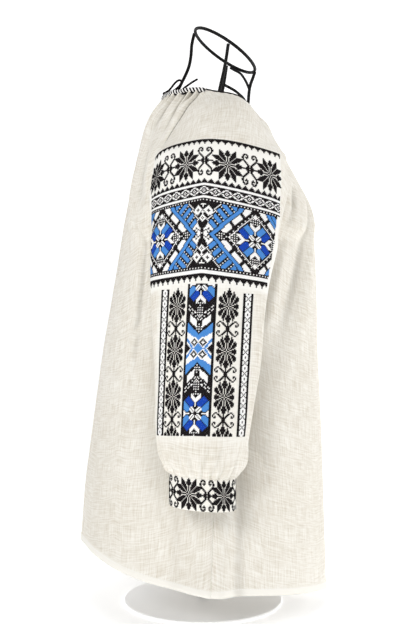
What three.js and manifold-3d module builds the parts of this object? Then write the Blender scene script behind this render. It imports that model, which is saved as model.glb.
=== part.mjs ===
// Romanian blouse on a wire dress form.
//
// A loose linen blouse with raglan sleeves hangs from the shoulders of an open wire torso on a
// pole and a round foot. Millimetres, +Z up, +X the wearer's front, +Y the wearer's left, and
// the origin on the floor under the middle of the hem.

import * as THREE from 'three';
import { mergeVertices } from 'three/addons/utils/BufferGeometryUtils.js';
import Module from 'manifold-3d';

// Cloth
const CLOTH_WALL = 1.5;
const CUFF_WALL = 2.6;
const SEAM_GAP = 0.4;
const UNDERARM = { x: 15, lateral: 150, z: 494, clear: 0.8 };   // four seams meet here, each drawn back
const PANEL_COLUMNS = 28;
const SLEEVE_COLUMNS = 24;

// Neck edge, bound with a round twisted cord whose ends meet at the slit
const BINDING_RADIUS = 3;
const BINDING_LIFT = 1.1;
const BINDING_END_GAP = 3;
const SLIT_LENGTH = 175;
const SLIT_WIDTH = 0.6;

// Cuffs
const CUFF = { x: 0.5, lateral: 210.5, halfWidth: 39.5, halfDepth: 27.5, top: 211, height: 38, slope: -0.08 };

// Wire form
const WIRE_RADIUS = 2.25;
const COLLAR_WIRE_RADIUS = 1.8;
const NECK_RING = { x: 31, z: 773, halfDepth: 50, halfWidth: 57.5, tiltDeg: 33 };
const SIDE_WIRE_X = 12;
const POLE = { radius: 7, top: 262 };
const FOOT = { radius: 110, height: 4 };
const RING_HEIGHTS = { bust_ring: 505, waist_ring: 420, hip_ring: 255 };

// Raglan seams and crown of the sleeve's open part, from the neck edge down to the underarm.
// back and front are the two seams, lateral is the distance from the middle plane, half is the
// half width of the arc between the seams, bulge its height over the chord, and pleat the depth
// of the gathers. turnBack and turnFront are the angles that the two panels turn through
// between their middle line and the seam.
const RAGLAN_ROWS = [
  { backX: -2.4, backLateral: 66.6, backZ: 702, frontX: 61.5, frontLateral: 34, frontZ: 690,
    crownZ: 698, half: 62, bulge: 12.5, wraps: false, pleat: 0.5, turnBack: 84, turnFront: 26 },
  { backX: -9, backLateral: 72, backZ: 691, frontX: 66.5, frontLateral: 41, frontZ: 678,
    crownZ: 688, half: 48, bulge: 33, wraps: false, pleat: 0.6, turnBack: 78, turnFront: 30 },
  { backX: -19, backLateral: 82, backZ: 678, frontX: 73.5, frontLateral: 52, frontZ: 663,
    crownZ: 675, half: 54, bulge: 50, wraps: false, pleat: 0.4, turnBack: 72, turnFront: 36 },
  { backX: -27, backLateral: 92, backZ: 663, frontX: 80, frontLateral: 65, frontZ: 650,
    crownZ: 658, half: 60, bulge: 60, wraps: false, pleat: 0, turnBack: 66, turnFront: 42 },
  { backX: -37, backLateral: 103, backZ: 645, frontX: 88, frontLateral: 79, frontZ: 637,
    crownZ: 638, half: 67, bulge: 66, wraps: false, pleat: 0, turnBack: 61, turnFront: 48 },
  { backX: -46, backLateral: 112, backZ: 628, frontX: 95.5, frontLateral: 92, frontZ: 626,
    crownZ: 617, half: 74, bulge: 71, wraps: false, pleat: 0, turnBack: 58, turnFront: 54 },
  { backX: -54, backLateral: 120, backZ: 608, frontX: 98, frontLateral: 104, frontZ: 606,
    crownZ: 594, half: 83, bulge: 73, wraps: true, pleat: 0, turnBack: 56, turnFront: 60 },
  { backX: -58, backLateral: 128, backZ: 576, frontX: 101, frontLateral: 118, frontZ: 576,
    crownZ: 564, half: 85, bulge: 72, wraps: true, pleat: 0, turnBack: 56, turnFront: 66 },
  { backX: -55, backLateral: 136, backZ: 545, frontX: 91, frontLateral: 131, frontZ: 545,
    crownZ: 532, half: 83, bulge: 70, wraps: true, pleat: 0, turnBack: 64, turnFront: 74 },
  { backX: -36, backLateral: 143, backZ: 518, frontX: 70, frontLateral: 142, frontZ: 517,
    crownZ: 508, half: 79.5, bulge: 67, wraps: true, pleat: 0, turnBack: 76, turnFront: 82 },
];

// The sleeve below the underarm: a tube whose seam faces the body.
const TUBE_ROWS = [
  { z: 490, x: UNDERARM.x, half: 77.5, inner: UNDERARM.lateral + UNDERARM.clear, outer: 213.5,
    slope: 0, pleat: 0 },
  { z: 445, x: 10, half: 72.5, inner: 157, outer: 221, slope: 0, pleat: 0 },
  { z: 405, x: 7.5, half: 68.5, inner: 163, outer: 227, slope: 0, pleat: 0 },
  { z: 355, x: 6.7, half: 65, inner: 169, outer: 232.5, slope: 0, pleat: 0 },
  { z: 305, x: 4.2, half: 60.5, inner: 173, outer: 236.5, slope: 0, pleat: 0 },
  { z: 265, x: 1.5, half: 56.5, inner: 176, outer: 239, slope: -0.03, pleat: 0.6 },
  { z: 240, x: 0.5, half: 52.5, inner: 178.5, outer: 240.5, slope: -0.05, pleat: 1.2 },
  { z: 224, x: 0.5, half: 47.5, inner: 180.5, outer: 240.5, slope: -0.07, pleat: 1.6 },
  { z: CUFF.top + SEAM_GAP, x: CUFF.x, half: CUFF.halfWidth, inner: CUFF.lateral - CUFF.halfDepth,
    outer: CUFF.lateral + CUFF.halfDepth, slope: CUFF.slope, pleat: 1.3 },
];

// Heights of one row of each panel at the middle of the front, at the side and at the middle
// of the back, with the depth of the gathers below the neck edge.
const PANEL_ROWS = [
  { front: 688, back: 703, side: null, frontPleat: 1.0, backPleat: 1.8 },
  { front: 678, back: 692, side: null, frontPleat: 1.2, backPleat: 2.2 },
  { front: 665, back: 679, side: null, frontPleat: 1.1, backPleat: 2.0 },
  { front: 652, back: 664, side: null, frontPleat: 0.8, backPleat: 1.5 },
  { front: 638, back: 646, side: null, frontPleat: 0.4, backPleat: 0.9 },
  { front: 624, back: 628, side: null, frontPleat: 0, backPleat: 0.4 },
  { front: 605, back: 608, side: null, frontPleat: 0, backPleat: 0 },
  { front: 577, back: 577, side: null, frontPleat: 0, backPleat: 0 },
  { front: 547, back: 547, side: null, frontPleat: 0, backPleat: 0 },
  { front: 520, back: 521, side: null, frontPleat: 0, backPleat: 0 },
  { front: 497, back: 497, side: UNDERARM.z, frontPleat: 0, backPleat: 0 },
  { front: 455, back: 455, side: 455, frontPleat: 0, backPleat: 0 },
  { front: 403, back: 406, side: 405, frontPleat: 0, backPleat: 0 },
  { front: 350, back: 357, side: 355, frontPleat: 0, backPleat: 0 },
  { front: 297, back: 309, side: 305, frontPleat: 0, backPleat: 0 },
  { front: 244, back: 260, side: 255, frontPleat: 0, backPleat: 0 },
  { front: 188, back: 211, side: 205, frontPleat: 0, backPleat: 0 },
  { front: 130, back: 165, side: 155, frontPleat: 0, backPleat: 0 },
  { front: 74, back: 125, side: 110, frontPleat: 0, backPleat: 0 },
  { front: 16, back: 87, side: 65, frontPleat: 0, backPleat: 0 },
];

// Outline of the body in the middle plane, and where its side seam lies.
const FRONT_OUTLINE = [
  { z: 688, x: 70 }, { z: 678, x: 79 }, { z: 664, x: 92 }, { z: 642, x: 102 }, { z: 619, x: 112.5 },
  { z: 597, x: 124.5 }, { z: 574, x: 137.5 }, { z: 551, x: 147 }, { z: 529, x: 152.5 }, { z: 506, x: 155.5 },
  { z: 439, x: 159 }, { z: 349, x: 160.5 }, { z: 259, x: 165 }, { z: 168, x: 168 }, { z: 16, x: 173 },
];
const BACK_OUTLINE = [
  { z: 703, x: -55 }, { z: 687, x: -64 }, { z: 664, x: -75 }, { z: 642, x: -83.5 }, { z: 619, x: -90 },
  { z: 597, x: -95.5 }, { z: 574, x: -101 }, { z: 551, x: -105.5 }, { z: 529, x: -110 }, { z: 506, x: -114 },
  { z: 439, x: -125 }, { z: 349, x: -141 }, { z: 259, x: -153.5 }, { z: 168, x: -166 }, { z: 87, x: -173 },
];
const SIDE_OUTLINE = [
  { z: UNDERARM.z, x: UNDERARM.x, lateral: UNDERARM.lateral - UNDERARM.clear, flare: 0 },
  { z: 405, x: 14, lateral: 154, flare: 0 },
  { z: 305, x: 14, lateral: 161, flare: 0 }, { z: 205, x: 15, lateral: 167, flare: 2 },
  { z: 110, x: 12, lateral: 172, flare: 7 }, { z: 65, x: 10, lateral: 174, flare: 10 },
];
const FLARE_SPREAD_DEG = 11;
const HEM_PINCH = { front: 0.12, back: 0.34 };   // how far the hem's plan draws in between its four sides

// The largest soft folds. across runs from -1 at the wearer's right seam to 1 at the left one,
// spread is the fold's half width on that scale, and depth is positive for a ridge.
const FRONT_FOLDS = [
  { across: -0.52, spread: 0.09, depth: 4.5, top: 600, bottom: 440 },
  { across: -0.33, spread: 0.09, depth: -4, top: 610, bottom: 470 },
  { across: 0.4, spread: 0.1, depth: 4, top: 605, bottom: 430 },
  { across: 0.6, spread: 0.1, depth: -3.5, top: 590, bottom: 450 },
  { across: -0.6, spread: 0.16, depth: 4, top: 330, bottom: 16 },
  { across: 0.55, spread: 0.16, depth: 4.5, top: 320, bottom: 16 },
];
const BACK_FOLDS = [
  { across: -0.42, spread: 0.1, depth: 3.5, top: 660, bottom: 470 },
  { across: -0.62, spread: 0.09, depth: -3.5, top: 650, bottom: 500 },
  { across: 0.38, spread: 0.1, depth: 3.5, top: 655, bottom: 460 },
  { across: 0.64, spread: 0.1, depth: -3, top: 645, bottom: 490 },
  { across: -0.5, spread: 0.17, depth: 4, top: 360, bottom: 65 },
  { across: 0.5, spread: 0.17, depth: 4, top: 350, bottom: 65 },
];

// Upright wires of the torso below the neck, at the middle of the front, of the back and at the sides.
const TORSO_ROWS = [
  { z: 690, front: 63.5, back: -47 }, { z: 668, front: 76, back: -60 }, { z: 645, front: 92, back: -71 },
  { z: 620, front: 105, back: -79 }, { z: 595, front: 118, back: -84 }, { z: 570, front: 131, back: -88 },
  { z: 545, front: 138, back: -90 }, { z: 505, front: 139, back: -91 }, { z: 460, front: 124, back: -86 },
  { z: 420, front: 112, back: -82 }, { z: 370, front: 108, back: -85 }, { z: 310, front: 112, back: -94 },
  { z: 255, front: 116, back: -98 },
];
const SIDE_ROWS = [
  { z: 610, lateral: 163 }, { z: 575, lateral: 153 }, { z: 540, lateral: 141 }, { z: 505, lateral: 133 },
  { z: 460, lateral: 125 },
  { z: 420, lateral: 119 }, { z: 370, lateral: 122 }, { z: 310, lateral: 131 }, { z: 255, lateral: 137 },
];
const FRONT_NECK_WIRE = [
  { x: 73, z: 742.9 }, { x: 70, z: 734 }, { x: 67, z: 726 }, { x: 65, z: 716 }, { x: 64, z: 704 },
];
const BACK_NECK_WIRE = [
  { x: -12.2, z: 797.5 }, { x: -15.7, z: 782 }, { x: -17, z: 766 }, { x: -19.5, z: 752 }, { x: -24, z: 740 },
  { x: -30, z: 728 }, { x: -35.5, z: 716 }, { x: -40, z: 704 },
];
const SIDE_NECK_WIRE = [
  { x: 34.4, lateral: 57.2, z: 766.6 }, { x: 31, lateral: 57.6, z: 744 }, { x: 27.5, lateral: 58, z: 726 },
  { x: 24, lateral: 58.2, z: 711 }, { x: 21.5, lateral: 59.5, z: 699 }, { x: 19.5, lateral: 64, z: 689 },
];
const COLLAR_WIRE = [
  { x: 28.1, lateral: 55.5, z: 712.5 }, { x: 43, lateral: 48.5, z: 706 }, { x: 53, lateral: 36, z: 701 },
  { x: 58.3, lateral: 19, z: 699 }, { x: 59.4, lateral: 0, z: 698.5 },
];
const BRACE_WIRE = [
  { x: 40, lateral: 53.3, z: 762.3 }, { x: 46, lateral: 48, z: 757.5 }, { x: 53.6, lateral: 38, z: 750.5 },
  { x: 60.7, lateral: 22, z: 736 }, { x: 65.4, lateral: 4.4, z: 719.5 },
];

// Drawstring: one loop that leans on the back wire, one free end, and the knot between them.
const TIE_RADIUS = 1;
const KNOT = { x: -54.2, y: 0, z: 712.7, radius: 2.2 };
const TIE_LOOP = [
  [-52, -2.2, 714.2], [-48.5, -3.8, 715.6], [-44.8, -4.5, 719.5], [-41, -4.6, 724.5], [-37, -4.2, 728.6],
  [-32.8, -3.9, 730.6], [-30, -3.8, 728.6], [-31.6, -4.1, 724.5], [-35, -4.2, 720.6], [-39.5, -3.9, 717],
  [-44, -3, 714.6], [-47.8, -1.6, 713], [-51.2, -0.3, 712.3],
];
const TIE_END = [
  [-51.6, 2.2, 711.8], [-47.5, 3.6, 710.8], [-42.5, 3.8, 711.4], [-37, 3.6, 713.2], [-31, 3.7, 717.5],
  [-24.5, 4, 723], [-17, 4.3, 728.5], [-8, 4.6, 734],
];

const LINEN = { color: 0xe9e4d9, roughness: 0.92, metalness: 0 };
const TWIST = { color: 0x2a2625, roughness: 0.85, metalness: 0 };
const BLACK_WIRE = { color: 0x121212, roughness: 0.42, metalness: 0.4 };
const PALE_FOOT = { color: 0xe8e8e4, roughness: 0.5, metalness: 0.1 };

const wasm = await Module();
wasm.setup();

const group = new THREE.Group();

/** Adds one named piece to the model. */
function addPiece(name, geometry, finish) {
  const mesh = new THREE.Mesh(geometry, new THREE.MeshStandardMaterial(finish));
  mesh.name = name;
  group.add(mesh);
  return mesh;
}

/** Straight-line value of one column of a table at height z. Rows run downwards. */
function tableValue(rows, z, column) {
  const last = rows.length - 1;
  if (z >= rows[0].z) return rows[0][column];
  if (z <= rows[last].z) return rows[last][column];
  const next = rows.findIndex((row) => row.z <= z);
  const above = rows[next - 1];
  const below = rows[next];
  const share = (above.z - z) / (above.z - below.z);
  return above[column] + share * (below[column] - above[column]);
}

/** A row of the sleeve as an arc in plan: middle, axes and the angle that it turns through. */
function sleeveArc(row) {
  const back = new THREE.Vector2(row.backX, row.backLateral);
  const front = new THREE.Vector2(row.frontX, row.frontLateral);
  const chord = front.clone().sub(back);
  const forward = chord.clone().normalize();
  const outward = new THREE.Vector2(-forward.y, forward.x);
  const narrow = Math.asin(chord.length() / 2 / row.half);
  const turn = row.wraps ? Math.PI - narrow : narrow;
  const depth = row.bulge / (1 - Math.cos(turn));
  const middle = back.clone().add(front).multiplyScalar(0.5);
  const centre = middle.addScaledVector(outward, -depth * Math.cos(turn));
  return { ...row, forward, outward, turn, depth, centre };
}

/** The same arc for a row of the tube, whose two edges meet at the underarm seam. */
function tubeArc(row) {
  return sleeveArc({
    backX: row.x - SEAM_GAP / 2, frontX: row.x + SEAM_GAP / 2,
    backLateral: row.inner, frontLateral: row.inner,
    backZ: row.z, frontZ: row.z, crownZ: row.z,
    half: row.half, bulge: row.outer - row.inner, wraps: true, slope: row.slope, pleat: row.pleat,
  });
}

/** A point of a sleeve arc, with across from -1 at the back seam to 1 at the front one. */
function sleevePoint(arc, across) {
  const angle = across * arc.turn;
  const ahead = arc.half * Math.sin(angle);
  const plan = arc.centre.clone()
    .addScaledVector(arc.forward, ahead)
    .addScaledVector(arc.outward, arc.depth * Math.cos(angle));
  const seamZ = across < 0 ? arc.backZ : arc.frontZ;
  const share = (1 - Math.cos(angle)) / (1 - Math.cos(arc.turn));
  const z = arc.crownZ + share * (seamZ - arc.crownZ) + (arc.slope ?? 0) * ahead;
  return new THREE.Vector3(plan.x, plan.y, z);
}

/** How far the folds of a panel stand out of it at one point. */
function foldHeight(folds, across, z) {
  let height = 0;
  for (const fold of folds) {
    const along = (fold.top - z) / (fold.top - fold.bottom);
    const openEnd = fold.bottom < 80;
    const window = openEnd ? THREE.MathUtils.smoothstep(along, 0, 1) : Math.sin(Math.PI * along) ** 2;
    if (along <= 0 || (along >= 1 && !openEnd)) continue;
    height += fold.depth * window * Math.exp(-(((across - fold.across) / fold.spread) ** 2));
  }
  return height;
}

/** A point of the front (facing 1) or back (facing -1) panel before its folds. */
function panelPoint(facing, rowIndex, across) {
  const row = PANEL_ROWS[rowIndex];
  const raglan = RAGLAN_ROWS[rowIndex];
  const middleZ = facing > 0 ? row.front : row.back;
  const middleX = tableValue(facing > 0 ? FRONT_OUTLINE : BACK_OUTLINE, middleZ, 'x');
  let seam;
  let turnDeg = 90;
  let flare = 0;
  if (raglan) {
    const name = facing > 0 ? 'front' : 'back';
    seam = { x: raglan[`${name}X`], lateral: raglan[`${name}Lateral`], z: raglan[`${name}Z`] };
    turnDeg = facing > 0 ? raglan.turnFront : raglan.turnBack;
  } else {
    const side = (name) => tableValue(SIDE_OUTLINE, row.side, name);
    seam = { x: side('x'), lateral: side('lateral'), z: row.side };
    flare = side('flare');
  }
  const turn = THREE.MathUtils.degToRad(turnDeg);
  const angle = across * turn;
  const drop = raglan ? 0 : (UNDERARM.z - row.side) / UNDERARM.z;
  const pinch = 1 + drop * (facing > 0 ? HEM_PINCH.front : HEM_PINCH.back);
  const round = (value) => Math.sign(value) * Math.abs(value) ** pinch;
  const x = middleX + (seam.x - middleX) * (1 - round(Math.cos(angle))) / (1 - round(Math.cos(turn)));
  const offSeamDeg = turnDeg * (1 - Math.abs(across));
  const bump = flare * Math.exp(-((offSeamDeg / FLARE_SPREAD_DEG) ** 2));
  const y = seam.lateral * round(Math.sin(angle)) / round(Math.sin(turn)) + Math.sign(across) * bump;
  const z = middleZ + (seam.z - middleZ) * (Math.sin(angle) / Math.sin(turn)) ** 2;
  return new THREE.Vector3(x, y, z);
}

/** Outward normals of a grid of points, found from the neighbours of each. */
function gridNormals(grid, outwardSign) {
  const rows = grid.length;
  const columns = grid[0].length;
  return grid.map((line, r) => line.map((point, c) => {
    const down = grid[Math.min(r + 1, rows - 1)][c].clone().sub(grid[Math.max(r - 1, 0)][c]);
    const across = line[Math.min(c + 1, columns - 1)].clone().sub(line[Math.max(c - 1, 0)]);
    return down.cross(across).multiplyScalar(outwardSign).normalize();
  }));
}

/** Moves a copy of each grid point along its normal by height(row, column). */
function raised(grid, normals, height) {
  return grid.map((line, r) => line.map((point, c) => (
    point.clone().addScaledVector(normals[r][c], height(r, c)))));
}

/** Closed geometry from vertices and triangles. */
function solidGeometry(vertices, triangles) {
  const geometry = new THREE.BufferGeometry();
  const numbers = vertices.flatMap((v) => [v.x, v.y, v.z]);
  geometry.setAttribute('position', new THREE.Float32BufferAttribute(numbers, 3));
  geometry.setIndex(triangles.flat());
  geometry.computeVertexNormals();
  return geometry;
}

/** A wall of cloth: the outer grid, the inner one a wall's thickness behind, and the edges between. */
function clothWall(outer, normals, wall, { joined = false } = {}) {
  const rows = outer.length;
  const columns = outer[0].length;
  const inner = raised(outer, normals, () => -wall);
  const vertices = [...outer.flat(), ...inner.flat()];
  const layer = rows * columns;
  const at = (r, c) => r * columns + (c % columns);
  const middle = Math.floor(rows / 2);
  const probe = outer[middle + 1][1].clone().sub(outer[middle][1])
    .cross(outer[middle][2].clone().sub(outer[middle][1]));
  const turned = probe.dot(normals[middle][1]) < 0;
  const triangles = [];
  const quad = (a, b, c, d) => {
    triangles.push(turned ? [a, c, b] : [a, b, c], turned ? [a, d, c] : [a, c, d]);
  };
  const spans = joined ? columns : columns - 1;
  for (let r = 0; r < rows - 1; r += 1) {
    for (let c = 0; c < spans; c += 1) {
      quad(at(r, c), at(r + 1, c), at(r + 1, c + 1), at(r, c + 1));
      quad(layer + at(r, c), layer + at(r, c + 1), layer + at(r + 1, c + 1), layer + at(r + 1, c));
    }
    if (!joined) {
      quad(at(r, 0), layer + at(r, 0), layer + at(r + 1, 0), at(r + 1, 0));
      quad(at(r + 1, spans), layer + at(r + 1, spans), layer + at(r, spans), at(r, spans));
    }
  }
  for (let c = 0; c < spans; c += 1) {
    quad(at(0, c), at(0, c + 1), layer + at(0, c + 1), layer + at(0, c));
    quad(at(rows - 1, c), layer + at(rows - 1, c), layer + at(rows - 1, c + 1), at(rows - 1, c + 1));
  }
  return solidGeometry(vertices, triangles);
}

/** A round wire or cord along a curve, closed on itself or with flat ends. */
function wire(curve, radius, steps, sides, closed = false) {
  const frames = curve.computeFrenetFrames(steps, closed);
  const rings = closed ? steps : steps + 1;
  const vertices = [];
  for (let i = 0; i < rings; i += 1) {
    const centre = curve.getPointAt(i / steps);
    for (let j = 0; j < sides; j += 1) {
      const angle = 2 * Math.PI * j / sides;
      vertices.push(centre.clone()
        .addScaledVector(frames.normals[i], radius * Math.cos(angle))
        .addScaledVector(frames.binormals[i], radius * Math.sin(angle)));
    }
  }
  const triangles = [];
  for (let i = 0; i < steps; i += 1) {
    const here = i * sides;
    const next = ((i + 1) % rings) * sides;
    for (let j = 0; j < sides; j += 1) {
      const k = (j + 1) % sides;
      triangles.push([here + j, here + k, next + k], [here + j, next + k, next + j]);
    }
  }
  if (!closed) {
    for (let j = 1; j < sides - 1; j += 1) {
      triangles.push([0, j + 1, j]);
      triangles.push([steps * sides, steps * sides + j, steps * sides + j + 1]);
    }
  }
  return solidGeometry(vertices, triangles);
}

/** A smooth curve through points. */
function smooth(points, closed = false) {
  return new THREE.CatmullRomCurve3(points, closed, 'centripetal');
}

/** Shares each seam between two pieces: half the gap each, and one mitred normal. */
function sewEdges(edgeA, normalsA, edgeB, normalsB, rowCount) {
  const middle = edgeA.map((point) => point.clone());
  for (let r = 0; r < rowCount; r += 1) {
    const tangent = middle[Math.min(r + 1, middle.length - 1)].clone().sub(middle[Math.max(r - 1, 0)]);
    const normal = normalsA[r].clone().add(normalsB[r]).normalize();
    const aside = tangent.cross(normal).normalize().multiplyScalar(SEAM_GAP / 2);
    edgeA[r].copy(middle[r]).add(aside);
    edgeB[r].copy(middle[r]).sub(aside);
    normalsA[r].copy(normal);
    normalsB[r].copy(normal);
  }
}

/** Turns a geometry into a solid that can be cut. */
function toSolid(geometry) {
  const bare = geometry.clone();
  bare.deleteAttribute('normal');
  bare.deleteAttribute('uv');
  const merged = mergeVertices(bare, 1e-4);
  return new wasm.Manifold(new wasm.Mesh({
    numProp: 3,
    vertProperties: new Float32Array(merged.attributes.position.array),
    triVerts: new Uint32Array(merged.index.array),
  }));
}

/** Cuts one geometry out of another. */
function cut(geometry, tool) {
  const mesh = toSolid(geometry).subtract(toSolid(tool)).getMesh();
  const result = new THREE.BufferGeometry();
  result.setAttribute('position', new THREE.BufferAttribute(new Float32Array(mesh.vertProperties), 3));
  result.setIndex(new THREE.BufferAttribute(new Uint32Array(mesh.triVerts), 1));
  return result;
}

// ---- Cloth grids, with the sleeve on the +Y side; the other sleeve is its mirror image ----

const sleeveArcs = [...RAGLAN_ROWS.map(sleeveArc), ...TUBE_ROWS.map(tubeArc)];
const sleeveBase = sleeveArcs.map((arc) => Array.from({ length: SLEEVE_COLUMNS + 1 },
  (_, c) => sleevePoint(arc, -1 + 2 * c / SLEEVE_COLUMNS)));
const sleeveNormals = gridNormals(sleeveBase, -1);
const sleeveGrid = raised(sleeveBase, sleeveNormals, (r, c) => {
  const edge = c === 0 || c === SLEEVE_COLUMNS;
  return edge ? 0 : sleeveArcs[r].pleat * (c % 2 ? 1 : -1);
});

/** Base points, normals and folded points of one panel. */
function panelGrids(facing, folds, pleatColumn) {
  const base = PANEL_ROWS.map((row, r) => Array.from({ length: PANEL_COLUMNS + 1 },
    (_, c) => panelPoint(facing, r, -1 + 2 * c / PANEL_COLUMNS)));
  const normals = gridNormals(base, facing);
  const grid = raised(base, normals, (r, c) => {
    const across = -1 + 2 * c / PANEL_COLUMNS;
    const edge = c === 0 || c === PANEL_COLUMNS;
    const pleat = PANEL_ROWS[r][pleatColumn] * (c % 2 ? 1 : -1);
    return edge ? 0 : pleat + foldHeight(folds, across, base[r][c].z);
  });
  return { base, grid, normals };
}
const front = panelGrids(1, FRONT_FOLDS, 'frontPleat');
const back = panelGrids(-1, BACK_FOLDS, 'backPleat');

const column = (grid, c) => grid.map((line) => line[c]);
const mirrored = (points) => points.map((point) => new THREE.Vector3(point.x, -point.y, point.z));
const raglanCount = RAGLAN_ROWS.length;
const sideNormal = new THREE.Vector3(0, 1, 0);

// Left-hand seams take the sleeve's own edges, and the right-hand ones are set from the mirror image.
for (const [panel, edge] of [[front, SLEEVE_COLUMNS], [back, 0]]) {
  const sleeveEdge = column(sleeveGrid, edge);
  const sleeveEdgeNormals = column(sleeveNormals, edge);
  const panelEdge = column(panel.grid, PANEL_COLUMNS);
  const panelEdgeNormals = column(panel.normals, PANEL_COLUMNS);
  if (edge === 0) sewEdges(sleeveEdge, sleeveEdgeNormals, panelEdge, panelEdgeNormals, raglanCount);
  else sewEdges(panelEdge, panelEdgeNormals, sleeveEdge, sleeveEdgeNormals, raglanCount);
  const shift = panel === front ? SEAM_GAP / 2 : -SEAM_GAP / 2;
  for (let r = raglanCount; r < PANEL_ROWS.length; r += 1) {
    panelEdge[r].x += shift;
    panelEdgeNormals[r].copy(sideNormal);
  }
  mirrored(panelEdge).forEach((point, r) => panel.grid[r][0].copy(point));
  mirrored(panelEdgeNormals).forEach((normal, r) => panel.normals[r][0].copy(normal));
}

addPiece('front_panel', clothWall(front.grid, front.normals, CLOTH_WALL), LINEN);
const slit = new THREE.BoxGeometry(120, SLIT_WIDTH, SLIT_LENGTH)
  .translate(-100, 0, PANEL_ROWS[0].back + 1 - SLIT_LENGTH / 2);
addPiece('back_panel', cut(clothWall(back.grid, back.normals, CLOTH_WALL), slit), LINEN);

const sideGrids = (grid, sign) => grid.map((line) => (
  line.map((point) => new THREE.Vector3(point.x, sign * point.y, point.z))));
for (const [name, sign] of [['right', -1], ['left', 1]]) {
  addPiece(`${name}_sleeve`,
    clothWall(sideGrids(sleeveGrid, sign), sideGrids(sleeveNormals, sign), CLOTH_WALL), LINEN);
}

/** A cuff: a doubled band round the wrist. */
function cuffGeometry(sign) {
  const columns = 28;
  const rows = 3;
  const grid = [];
  const normals = [];
  for (let r = 0; r < rows; r += 1) {
    const z = CUFF.top - CUFF.height * r / (rows - 1);
    const line = [];
    const lineNormals = [];
    for (let c = 0; c < columns; c += 1) {
      const angle = 2 * Math.PI * c / columns;
      const ahead = CUFF.halfWidth * Math.sin(angle);
      const lateral = CUFF.lateral + CUFF.halfDepth * Math.cos(angle);
      line.push(new THREE.Vector3(CUFF.x + ahead, sign * lateral, z + CUFF.slope * ahead));
      lineNormals.push(new THREE.Vector3(
        Math.sin(angle) / CUFF.halfWidth, sign * Math.cos(angle) / CUFF.halfDepth, 0).normalize());
    }
    grid.push(line);
    normals.push(lineNormals);
  }
  return clothWall(grid, normals, CUFF_WALL, { joined: true });
}
addPiece('right_cuff', cuffGeometry(-1), LINEN);
addPiece('left_cuff', cuffGeometry(1), LINEN);

// ---- Neck binding and drawstring ----

const PANEL_MIDDLE = PANEL_COLUMNS / 2;
const half = (grid, normals, from, to, step) => {
  const points = [];
  for (let c = from; step > 0 ? c <= to : c >= to; c += step) {
    points.push(grid[0][c].clone().addScaledVector(normals[0][c], -CLOTH_WALL / 2));
  }
  return points;
};
const leftNeckEdge = [
  ...half(back.base, back.normals, PANEL_MIDDLE, PANEL_COLUMNS - 2, 2),
  ...half(sleeveBase, sleeveNormals, 2, SLEEVE_COLUMNS - 2, 4),
  ...half(front.base, front.normals, PANEL_COLUMNS - 2, PANEL_MIDDLE, -3),
];
leftNeckEdge.forEach((point) => { point.z += BINDING_RADIUS + BINDING_LIFT; });
leftNeckEdge[0].y = BINDING_END_GAP / 2;
const bindingPoints = [...leftNeckEdge, ...mirrored(leftNeckEdge.slice(0, -1)).reverse()];
addPiece('neck_binding', wire(smooth(bindingPoints), BINDING_RADIUS, 48, 6), TWIST);
addPiece('tie_knot', new THREE.SphereGeometry(KNOT.radius, 12, 8).translate(KNOT.x, KNOT.y, KNOT.z), TWIST);
const vectors = (rows) => rows.map((row) => new THREE.Vector3(...row));
addPiece('tie_loop', wire(smooth(vectors(TIE_LOOP)), TIE_RADIUS, 24, 6), TWIST);
addPiece('tie_end', wire(smooth(vectors(TIE_END)), TIE_RADIUS, 14, 6), TWIST);

// ---- Wire form ----

/** A ring of wire in plan, deeper at the front than at the back. */
function torsoRing(height) {
  const inside = 2 * WIRE_RADIUS + SEAM_GAP;
  const frontX = tableValue(TORSO_ROWS, height, 'front') - inside;
  const backX = tableValue(TORSO_ROWS, height, 'back') + inside;
  const halfWidth = tableValue(SIDE_ROWS, height, 'lateral') - inside;
  const points = [];
  for (let i = 0; i < 32; i += 1) {
    const angle = 2 * Math.PI * i / 32;
    const reach = (Math.cos(angle) > 0 ? frontX : backX) - SIDE_WIRE_X;
    const x = SIDE_WIRE_X + reach * Math.abs(Math.cos(angle));
    points.push(new THREE.Vector3(x, halfWidth * Math.sin(angle), height));
  }
  return wire(smooth(points, true), WIRE_RADIUS, 32, 6, true);
}
for (const [name, height] of Object.entries(RING_HEIGHTS)) addPiece(name, torsoRing(height), BLACK_WIRE);

const tilt = THREE.MathUtils.degToRad(NECK_RING.tiltDeg);
const neckRingPoints = Array.from({ length: 32 }, (_, i) => {
  const angle = 2 * Math.PI * i / 32;
  const ahead = NECK_RING.halfDepth * Math.cos(angle);
  return new THREE.Vector3(NECK_RING.x + ahead * Math.cos(tilt), NECK_RING.halfWidth * Math.sin(angle),
    NECK_RING.z - ahead * Math.sin(tilt));
});
addPiece('neck_ring', wire(smooth(neckRingPoints, true), WIRE_RADIUS, 36, 8, true), BLACK_WIRE);

const frontWire = [...FRONT_NECK_WIRE.map((p) => [p.x, 0, p.z]), ...TORSO_ROWS.map((p) => [p.front, 0, p.z])];
const backWire = [...BACK_NECK_WIRE.map((p) => [p.x, 0, p.z]), ...TORSO_ROWS.map((p) => [p.back, 0, p.z])];
addPiece('front_wire', wire(smooth(vectors(frontWire)), WIRE_RADIUS, 36, 6), BLACK_WIRE);
addPiece('back_wire', wire(smooth(vectors(backWire)), WIRE_RADIUS, 38, 6), BLACK_WIRE);

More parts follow.
